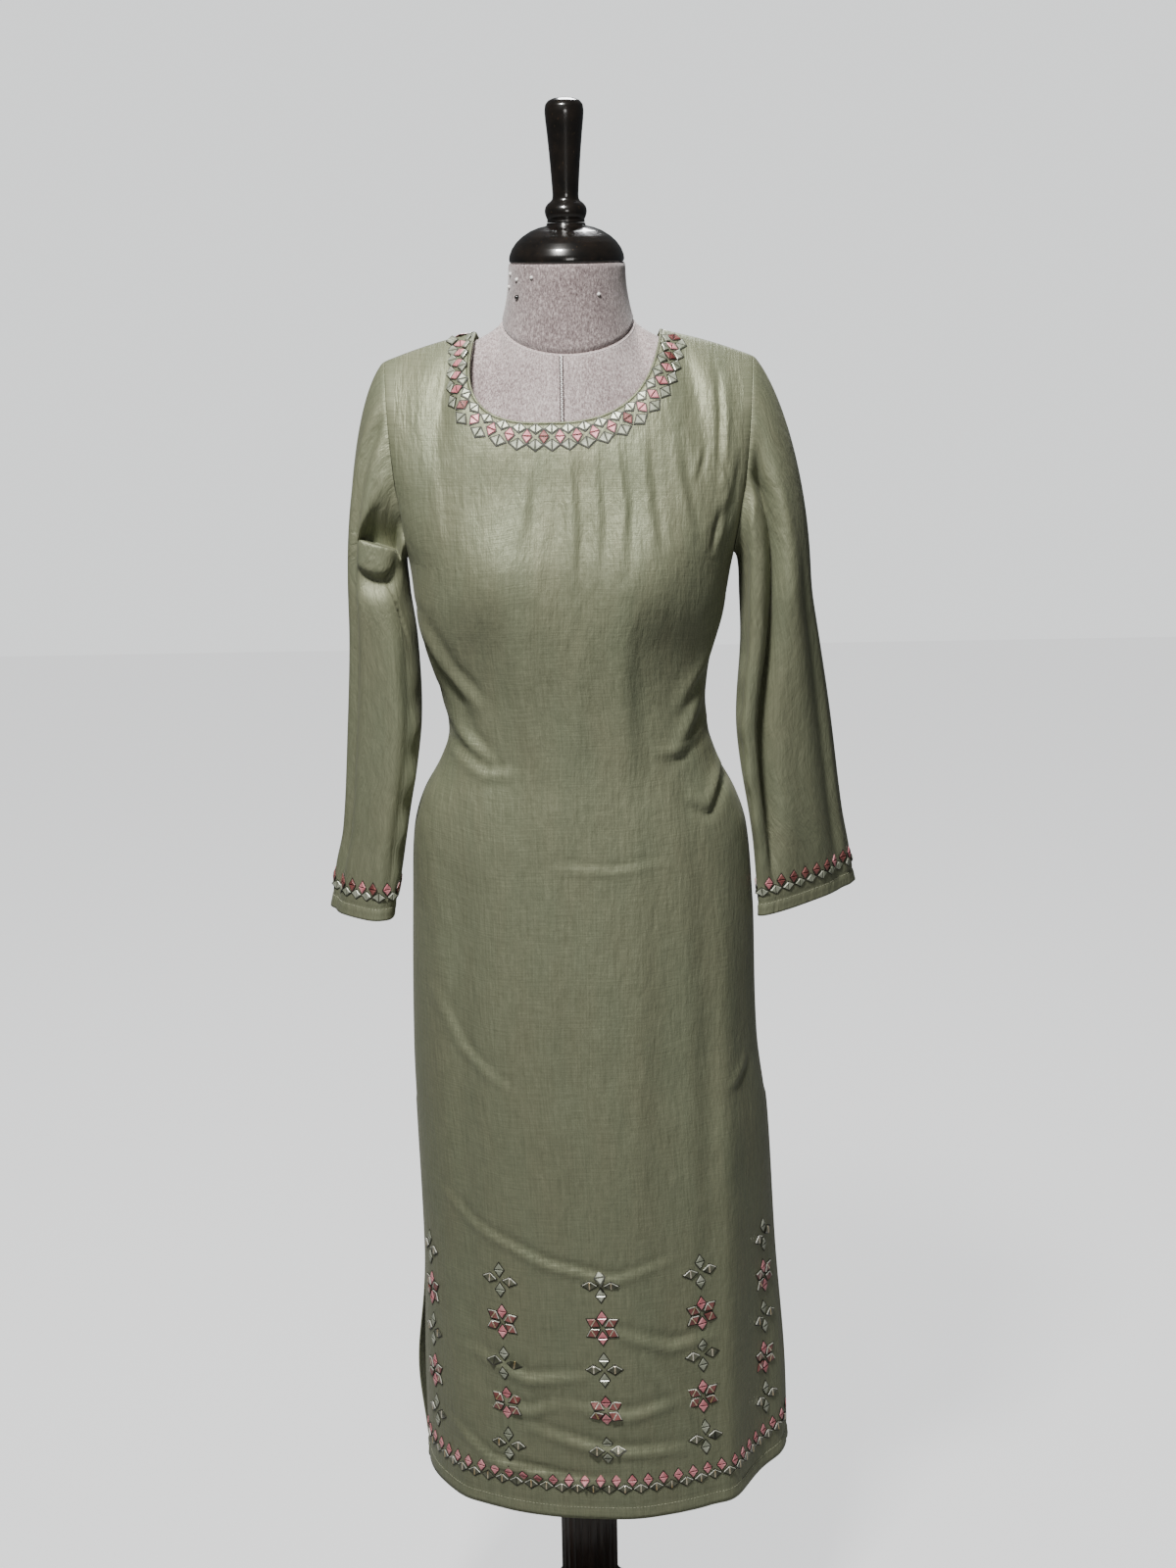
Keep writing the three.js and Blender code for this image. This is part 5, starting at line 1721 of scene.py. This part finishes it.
# %% Make the lacquer and the dark wood
def lacquer_material():
    """Black lacquer whose cells, here and there, are bronze flecks."""
    material, nodes, links, shader = start_material(
        "flecked_lacquer", 0.24, Coat_Weight=1.0, Coat_Roughness=0.05, Specular_IOR_Level=0.5)
    place = object_place(nodes)
    cells = add_node(nodes, "ShaderNodeTexVoronoi", Scale=1700.0)
    links.new(place, cells.inputs["Vector"])
    fleck = ramp(nodes, links, cells.outputs["Color"],
                 [(0.0, (0, 0, 0)), (0.93, (0, 0, 0)), (0.98, (1, 1, 1))])
    cloud = noise(nodes, links, place, 60, 3.0, 0.6)
    warm = ramp(nodes, links, cloud, [(0.35, (0.003, 0.0025, 0.002)), (0.80, (0.010, 0.007, 0.005))])
    blend = add_node(nodes, "ShaderNodeMix", data_type="RGBA")
    links.new(fleck, blend.inputs["Factor"])
    links.new(warm, blend.inputs["A"])
    blend.inputs["B"].default_value = (0.20, 0.125, 0.065, 1)
    links.new(blend.outputs["Result"], shader.inputs["Base Color"])
    links.new(combine(nodes, links, "MULTIPLY", fleck, 0.85), shader.inputs["Metallic"])
    bump_normal(nodes, links, shader, cloud, 0.08, 0.0004)
    return material


def wood_material():
    """Nearly black stained wood with an upright grain."""
    material, nodes, links, shader = start_material(
        "dark_stained_wood", 0.42, Coat_Weight=0.35, Coat_Roughness=0.25)
    upright = stretched(nodes, links, object_place(nodes), (160, 160, 9))
    grain = noise(nodes, links, upright, 1.0, 5.0, 0.65)
    colour = ramp(nodes, links, grain, [(0.3, (0.007, 0.004, 0.003)), (0.55, (0.020, 0.011, 0.007)),
                                        (0.75, (0.052, 0.027, 0.015))])
    links.new(colour, shader.inputs["Base Color"])
    vary_roughness(nodes, links, shader, grain, 0.32, 0.6)
    bump_normal(nodes, links, shader, grain, 0.3, 0.0006)
    return material


LACQUER = lacquer_material()
DARK_WOOD = wood_material()
cap = finish_piece("neck_cap_dome", turned(rounded_outline(CAP_OUTLINE)), LACQUER)
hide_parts("neck_cap")
handle = finish_piece("cap_handle_grip", turned(rounded_outline(HANDLE_OUTLINE), 72), LACQUER)
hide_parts("cap_handle")
print("cap and handle faces:", len(cap.data.polygons), len(handle.data.polygons))

# %% [markdown]
# ## Column, foot block and legs
# The column is a turned pole with upright flutes. The flutes could be cut out of a cylinder, but a
# ring of points whose radius dips at every flute, extruded up the column, is cleaner. The block at its
# foot is turned, and the three legs reuse the shape of the frame's own legs: a copy of their mesh is
# merged, cleaned and given rounded edges.

# %% Build the stand
FLUTES = 24
FLUTE_DEPTH = 1.7
POINTS_PER_FLUTE = 10
COLUMN_STEPS = 6
LEG_ROUND = 4 * MM
COLUMN_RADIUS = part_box("stand_column")[1][0] / MM


def fluted_column():
    """The column with its flutes, closed at both ends."""
    low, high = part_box("stand_column")[0][2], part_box("stand_column")[1][2]
    bm = bmesh.new()
    bmesh.ops.create_circle(bm, cap_ends=False, segments=FLUTES * POINTS_PER_FLUTE, radius=1)
    for vert in bm.verts:
        angle = math.atan2(vert.co.y, vert.co.x)
        groove = abs(math.sin(angle * FLUTES / 2)) ** 0.6
        radius = COLUMN_RADIUS - FLUTE_DEPTH * groove
        vert.co = Vector((math.cos(angle) * radius, math.sin(angle) * radius, low / MM)) * MM
    last = bm.edges[:]
    for _ in range(COLUMN_STEPS):
        grown = bmesh.ops.extrude_edge_only(bm, edges=last)
        verts = [g for g in grown["geom"] if isinstance(g, bmesh.types.BMVert)]
        last = [g for g in grown["geom"] if isinstance(g, bmesh.types.BMEdge)]
        bmesh.ops.translate(bm, verts=verts, vec=(0, 0, (high - low) / COLUMN_STEPS))
    bmesh.ops.holes_fill(bm, edges=[e for e in bm.edges if e.is_boundary], sides=0)
    bmesh.ops.triangulate(bm, faces=[f for f in bm.faces if len(f.verts) > 4])
    bmesh.ops.recalc_face_normals(bm, faces=bm.faces)
    return bm


column = finish_piece("fluted_column", fluted_column(), DARK_WOOD)
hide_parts("stand_column")

FOOT_OUTLINE = [(0, 0), (59, 0), (60, 1.5), (60, 58), (58.5, 64), (55, 68), (56, 71), (52, 76),
                (42, 80), (36.5, 83), (35, 87), (35, 94), (0, 94)]
foot = finish_piece("foot_block_turned", turned(rounded_outline(FOOT_OUTLINE)), DARK_WOOD)
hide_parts("foot_block")


def rounded_leg(node, name):
    """A copy of a leg of the frame, with its loose triangles merged and its edges rounded."""
    bm = bmesh.new()
    bm.from_mesh(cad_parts[node].data)
    bmesh.ops.remove_doubles(bm, verts=bm.verts, dist=SAME_PLACE)
    bmesh.ops.dissolve_limit(bm, angle_limit=math.radians(1), verts=bm.verts, edges=bm.edges)
    sharp = [e for e in bm.edges if len(e.link_faces) == 2 and e.calc_face_angle() > math.radians(50)]
    bmesh.ops.bevel(bm, geom=sharp, offset=LEG_ROUND, segments=4, profile=0.5, affect="EDGES",
                    material=-1)
    piece = finish_piece(name, bm, DARK_WOOD)
    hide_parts(node)
    return piece


legs = [rounded_leg(f"stand_leg_{k}", f"leg_{k}") for k in (1, 2, 3)]
print("stand faces:", len(column.data.polygons), len(foot.data.polygons), len(legs[0].data.polygons))

# %% [markdown]
# The area of the cut is printed as a sum of given areas, in square metres: front, back and two
# sleeves. Front and back are as wide as their widest row of cloth, with the seams; a sleeve is as wide
# as the armhole needs and tapers to the cuff.

# %% Say how the cloth was cut
print("cloth for the whole cut:", 0.58 + 0.57 + 2 * 0.165, "square metres")

# %% [markdown]
# ## Floor and light
# The stage is plain: a pale floor, a pale world and three lamps. The main lamp is small, high and
# close in front of the garment, a little to the left, so the chest and shoulders are bright and the
# skirt falls off, as under a shop's ceiling. A weak second lamp opens the shadows and one behind lights
# the back. A bright world would flatten the folds, so the world and the floor look pale only where they
# are seen directly, through Light Path, and give the cloth little light.

# %% Make the stage
FLOOR_HALF = 6
FLOOR_GLOW = 1.15


def stage_floor():
    """A pale floor whose glow shows only where it is seen directly."""
    bm = bmesh.new()
    bmesh.ops.create_grid(bm, x_segments=1, y_segments=1, size=FLOOR_HALF)
    mesh = bpy.data.meshes.new("floor")
    bm.to_mesh(mesh)
    bm.free()
    floor = bpy.data.objects.new("floor", mesh)
    bpy.context.scene.collection.objects.link(floor)
    material, nodes, links, shader = start_material("floor_paint", 0.85)
    shader.inputs["Base Color"].default_value = (0.30, 0.30, 0.295, 1)
    shader.inputs["Emission Color"].default_value = (0.96, 0.97, 0.98, 1)
    seen_straight = nodes.new("ShaderNodeLightPath").outputs["Is Camera Ray"]
    glow = combine(nodes, links, "MULTIPLY", seen_straight, FLOOR_GLOW)
    links.new(glow, shader.inputs["Emission Strength"])
    mesh.materials.append(material)


def area_light(name, place, target, size, power, colour):
    """A square lamp of a size in metres and a power in watts, turned to look at a target."""
    lamp = bpy.data.objects.new(name, bpy.data.lights.new(name, "AREA"))
    lamp.data.size = size
    lamp.data.energy = power
    lamp.data.color = colour
    lamp.location = place
    lamp.rotation_euler = (Vector(target) - Vector(place)).to_track_quat("-Z", "Y").to_euler()
    bpy.context.scene.collection.objects.link(lamp)


stage_floor()
area_light("key", (-0.42, -1.22, 3.0), (0, 0, 1.2), 0.34, 112, (1, 0.99, 0.96))
area_light("second", (0.4, -3.2, 1.8), (0, 0, 0.9), 0.8, 10, (1, 0.99, 0.96))
area_light("back", (0.2, 1.9, 3.3), (0, 0, 1.0), 1.0, 70, (0.97, 0.98, 1))
print("lamps:", len(bpy.data.lights))

# %% Make the world
world = bpy.data.worlds.new("pale")
bpy.context.scene.world = world
world.use_nodes = True
sky_nodes, sky_links = world.node_tree.nodes, world.node_tree.links
dim = sky_nodes["Background"]
dim.inputs["Color"].default_value = (0.80, 0.84, 0.88, 1)
dim.inputs["Strength"].default_value = 0.08
pale = sky_nodes.new("ShaderNodeBackground")
pale.inputs["Color"].default_value = (0.96, 0.98, 0.985, 1)
pale.inputs["Strength"].default_value = 1.3
seen = sky_nodes.new("ShaderNodeLightPath")
both = sky_nodes.new("ShaderNodeMixShader")
sky_links.new(seen.outputs["Is Camera Ray"], both.inputs["Fac"])
sky_links.new(dim.outputs["Background"], both.inputs[1])
sky_links.new(pale.outputs["Background"], both.inputs[2])
sky_links.new(both.outputs["Shader"], sky_nodes["World Output"].inputs["Surface"])
print("the world is", round(pale.inputs["Strength"].default_value / dim.inputs["Strength"].default_value),
      "times brighter where it is seen directly")
